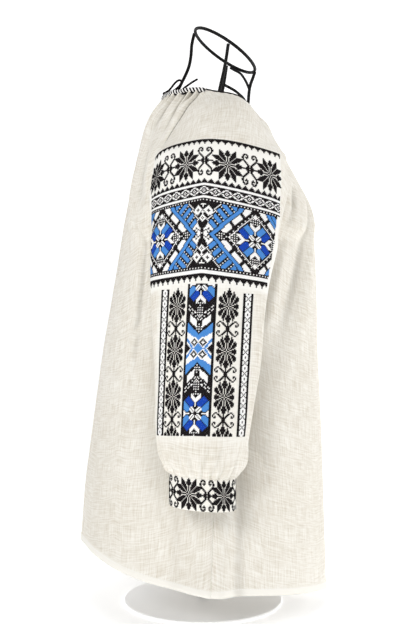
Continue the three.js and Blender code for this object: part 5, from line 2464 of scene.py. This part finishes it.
@dataclass(frozen=True)
class Studio:
    """White seamless paper, soft lights from all round and the camera on the wearer's right."""

    camera_place: Point = (0.007, -1.35, 0.405)
    lens: float = 55.3
    room_light: float = 0.26
    lamps: tuple[Lamp, ...] = (
        Lamp("key light", (2.1, 0.4, 0.9), 1.1, 17.0),
        Lamp("fill light", (-0.8, -2.0, 1.2), 0.6, 16.5),
        Lamp("top light", (0.1, -0.6, 2.3), 1.2, 10.5),
    )

    def make_camera(self) -> None:
        """The camera, level and square to the wearer's side."""
        data = bpy.data.cameras.new("camera")
        data.sensor_width = 36.0
        data.lens = self.lens
        data.clip_start = 0.05
        camera = link_object("camera", data)
        camera.location = self.camera_place
        camera.rotation_euler = (math.radians(90.0), 0.0, 0.0)
        bpy.context.scene.camera = camera

    def make(self, finishes: Finishes) -> None:
        """The paper, the lights, the white surroundings and the picture's plain tones.

        Args:
            finishes: The materials.
        """
        self._paper(finishes)
        for lamp in self.lamps:
            lamp.make()
        scene = bpy.context.scene
        world = bpy.data.worlds.new("white room")
        world.use_nodes = True
        world.node_tree.nodes.clear()
        walls = add_node(world.node_tree, "ShaderNodeBackground", Color=(1.0, 1.0, 1.0, 1.0),
                         Strength=self.room_light)
        add_node(world.node_tree, "ShaderNodeOutputWorld", Surface=walls.outputs[0])
        scene.world = world
        scene.view_settings.view_transform = "Standard"
        scene.view_settings.look = "None"

    @staticmethod
    def _paper(finishes: Finishes) -> None:
        """One sheet of paper: the floor, and a wall that it curves up to far behind.

        Args:
            finishes: The materials.
        """
        radius, far, near, half, floor = 900.0, 3200.0, -5200.0, 5200.0, -0.5
        angles = np.linspace(0.0, math.pi / 2, 25)
        curve = [(far - radius + radius * math.sin(angle), radius - radius * math.cos(angle) + floor)
                 for angle in angles]
        line = [(near, floor), (0.0, floor), *curve, (far, 4200.0)]
        vertices = [(x, y, z) for y, z in line for x in (-half, half)]
        faces = [(2 * i, 2 * i + 1, 2 * i + 3, 2 * i + 2) for i in range(len(line) - 1)]
        paper = make_object("studio_paper", np.array(vertices), faces)
        paper.data.materials.append(finishes.paper)


# ---- The blouse ----


@dataclass(frozen=True)
class Cut:
    """The flat cut of a piece that shows, in metres and square metres, and how it is held."""

    width: float
    length: float
    area: float
    held: str
    rests_on: tuple[str, ...]


CUTS = {
    "front": Cut(0.57, 0.7, 0.335, "gathered", ("front_wire_rod",)),
    "back": Cut(0.57, 0.64, 0.3, "gathered", ("back_wire_rod",)),
    "sleeve": Cut(0.38, 0.53, 0.18, "gathered", ("right_wire_rod", "left_wire_rod")),
    "cuff": Cut(0.214, 0.038, 0.00813, "folded", ()),
}


class Blouse:
    """Builds every piece of the blouse.

    Attributes:
        SEWN_ROWS: Rows of a sleeve that its raglan seams run along.
        BESIDE_SEAMS: Columns that their stitches lie on.
        BESIDE_SLIT: How far the slit's stitches lie from its middle.
        STITCH_SLANT: The most that a sewing stitch is turned at random, in radians.
    """

    SEWN_ROWS = slice(2, 46)
    BESIDE_SEAMS = (2, -3)
    BESIDE_SLIT = 3.2
    STITCH_SLANT = 0.05

    def __init__(self, finishes: Finishes) -> None:
        """Prepares the tools that all pieces share.

        Args:
            finishes: The materials.
        """
        self.finishes = finishes
        self.stitcher = StitchTool()
        self.sweeper = SweepTool()
        self.cross = CrossShape().make()
        self.running = RunningShape().make()
        self.front = FRONT.grid()
        self.back = BACK.grid()
        self.sleeves = {side: Sleeve(side).grid() for side in Side}

    def make(self) -> None:
        """Builds the cords first, then the body, the sleeves and the sewing."""
        Drawstring().make(self.sweeper, self.finishes)
        binding = NeckBinding()
        edge = binding.edge(self.front, self.back, self.sleeves[Side.LEFT])
        binding.make(self.sweeper, self.finishes, *edge)
        middle_down = run_lengths(self.back.points, 0)[:, self.back.middle]
        self._make_panel("front", self.front)
        self._make_panel("back", self.back, int(np.searchsorted(middle_down, SIZES.slit_length)))
        for side in Side:
            self._make_sleeve(side)
        for shape in (self.cross, self.running):
            bpy.data.objects.remove(shape, do_unlink=True)

    def _make_panel(self, word: str, grid: ClothGrid, slit_rows: int = 0) -> None:
        """The front or the back, with its hem, its slit and its sewing.

        Args:
            word: Which of the two it is.
            grid: Its outer surface.
            slit_rows: How many rows its slit runs down.
        """
        panel = cloth_object(f"{word}_linen", grid, slit_rows)
        add_to_both_faces(panel, "double", smoothstep(SIZES.hem_band + 0.8 - grid.to_hem(), 0.0, 1.0))
        # Painted shade in seam grooves, creases and where the sleeves stand over the panel.
        add_hollow_shade(panel, grid, cover=cover_share(grid, list(self.sleeves.values())))
        settle(panel, self.finishes.linen, "linen", f"{word}_panel")
        lines = [self._row_line(grid, SIZES.hem_band - 0.8)]
        if slit_rows:
            lines += self._slit_lines(grid, slit_rows)
        self._declare(panel, CUTS[word], [self._sew(f"{word}_sewing", lines)])

    def _make_sleeve(self, side: Side) -> None:
        """One sleeve with its cuff, its cross stitch and its seams.

        Args:
            side: Which of the two it is.
        """
        grid = self.sleeves[side]
        ground = SleeveGround(grid, side)
        embroidery = SleeveEmbroidery(side)
        sleeve = cloth_object(f"{side.word}_linen_sleeve", grid)
        add_to_both_faces(sleeve, "ground", embroidery.ground_share(grid, ground))
        # Painted shade in seam grooves, with its creases at 0.45 of full strength.
        add_hollow_shade(sleeve, grid, 0.45)
        settle(sleeve, self.finishes.linen, "linen", f"{side.word}_sleeve")
        cuff = Cuff(side)
        band = cuff.make(self.finishes)
        crosses = embroidery.make(self.stitcher, self.cross, self.finishes, embroidery.fields(ground, cuff))
        lines = [SewingLine(grid.points[self.SEWN_ROWS, column], grid.normals[self.SEWN_ROWS, column])
                 for column in self.BESIDE_SEAMS]
        seams = self._sew(f"{side.word}_raglan_sewing", lines)
        self._declare(sleeve, CUTS["sleeve"], [*sorted(crosses, key=lambda piece: piece.name), seams])
        self._declare(band, CUTS["cuff"], [])

    def _sew(self, name: str, lines: Sequence[SewingLine]) -> Piece:
        """Makes one piece of running stitches in white thread."""
        return self.stitcher.stitch(name, [line.stitches() for line in lines], self.running,
                                    self.finishes.threads[Thread.WHITE], self.STITCH_SLANT)

    @staticmethod
    def _row_line(grid: ClothGrid, above_hem: float) -> SewingLine:
        """A line of stitches at an even distance above the lower edge.

        Args:
            grid: The cloth.
            above_hem: The distance in millimetres.

        Returns:
            The line.
        """
        to_hem = grid.to_hem()[::-1]
        points, normals = (np.array([
            [np.interp(above_hem, to_hem[:, column], table[::-1, column, axis]) for axis in range(3)]
            for column in range(2, table.shape[1] - 2)]) for table in (grid.points, grid.normals))
        return SewingLine(points, unit(normals))

    def _slit_lines(self, grid: ClothGrid, slit_rows: int) -> list[SewingLine]:
        """Stitches down both edges of the slit."""
        points, normals = (table[2:slit_rows, grid.middle] for table in (grid.points, grid.normals))
        return [SewingLine(points + np.array([0.0, side * self.BESIDE_SLIT, 0.0]), normals)
                for side in (-1, 1)]

    @staticmethod
    def _declare(piece: Piece, cut: Cut, on_it: Sequence[Piece]) -> None:
        """Does nothing with the piece, its flat cut or what lies on it."""


def write_sizes() -> None:
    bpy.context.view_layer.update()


def main() -> None:
    """Builds the studio, the blouse and its form."""
    studio = Studio()
    studio.make_camera()
    finishes = Finishes.make()
    blouse = Blouse(finishes)
    blouse.make()
    WireForm().make(blouse.sweeper, finishes)
    studio.make(finishes)
    write_sizes()


if __name__ == "__main__":
    main()
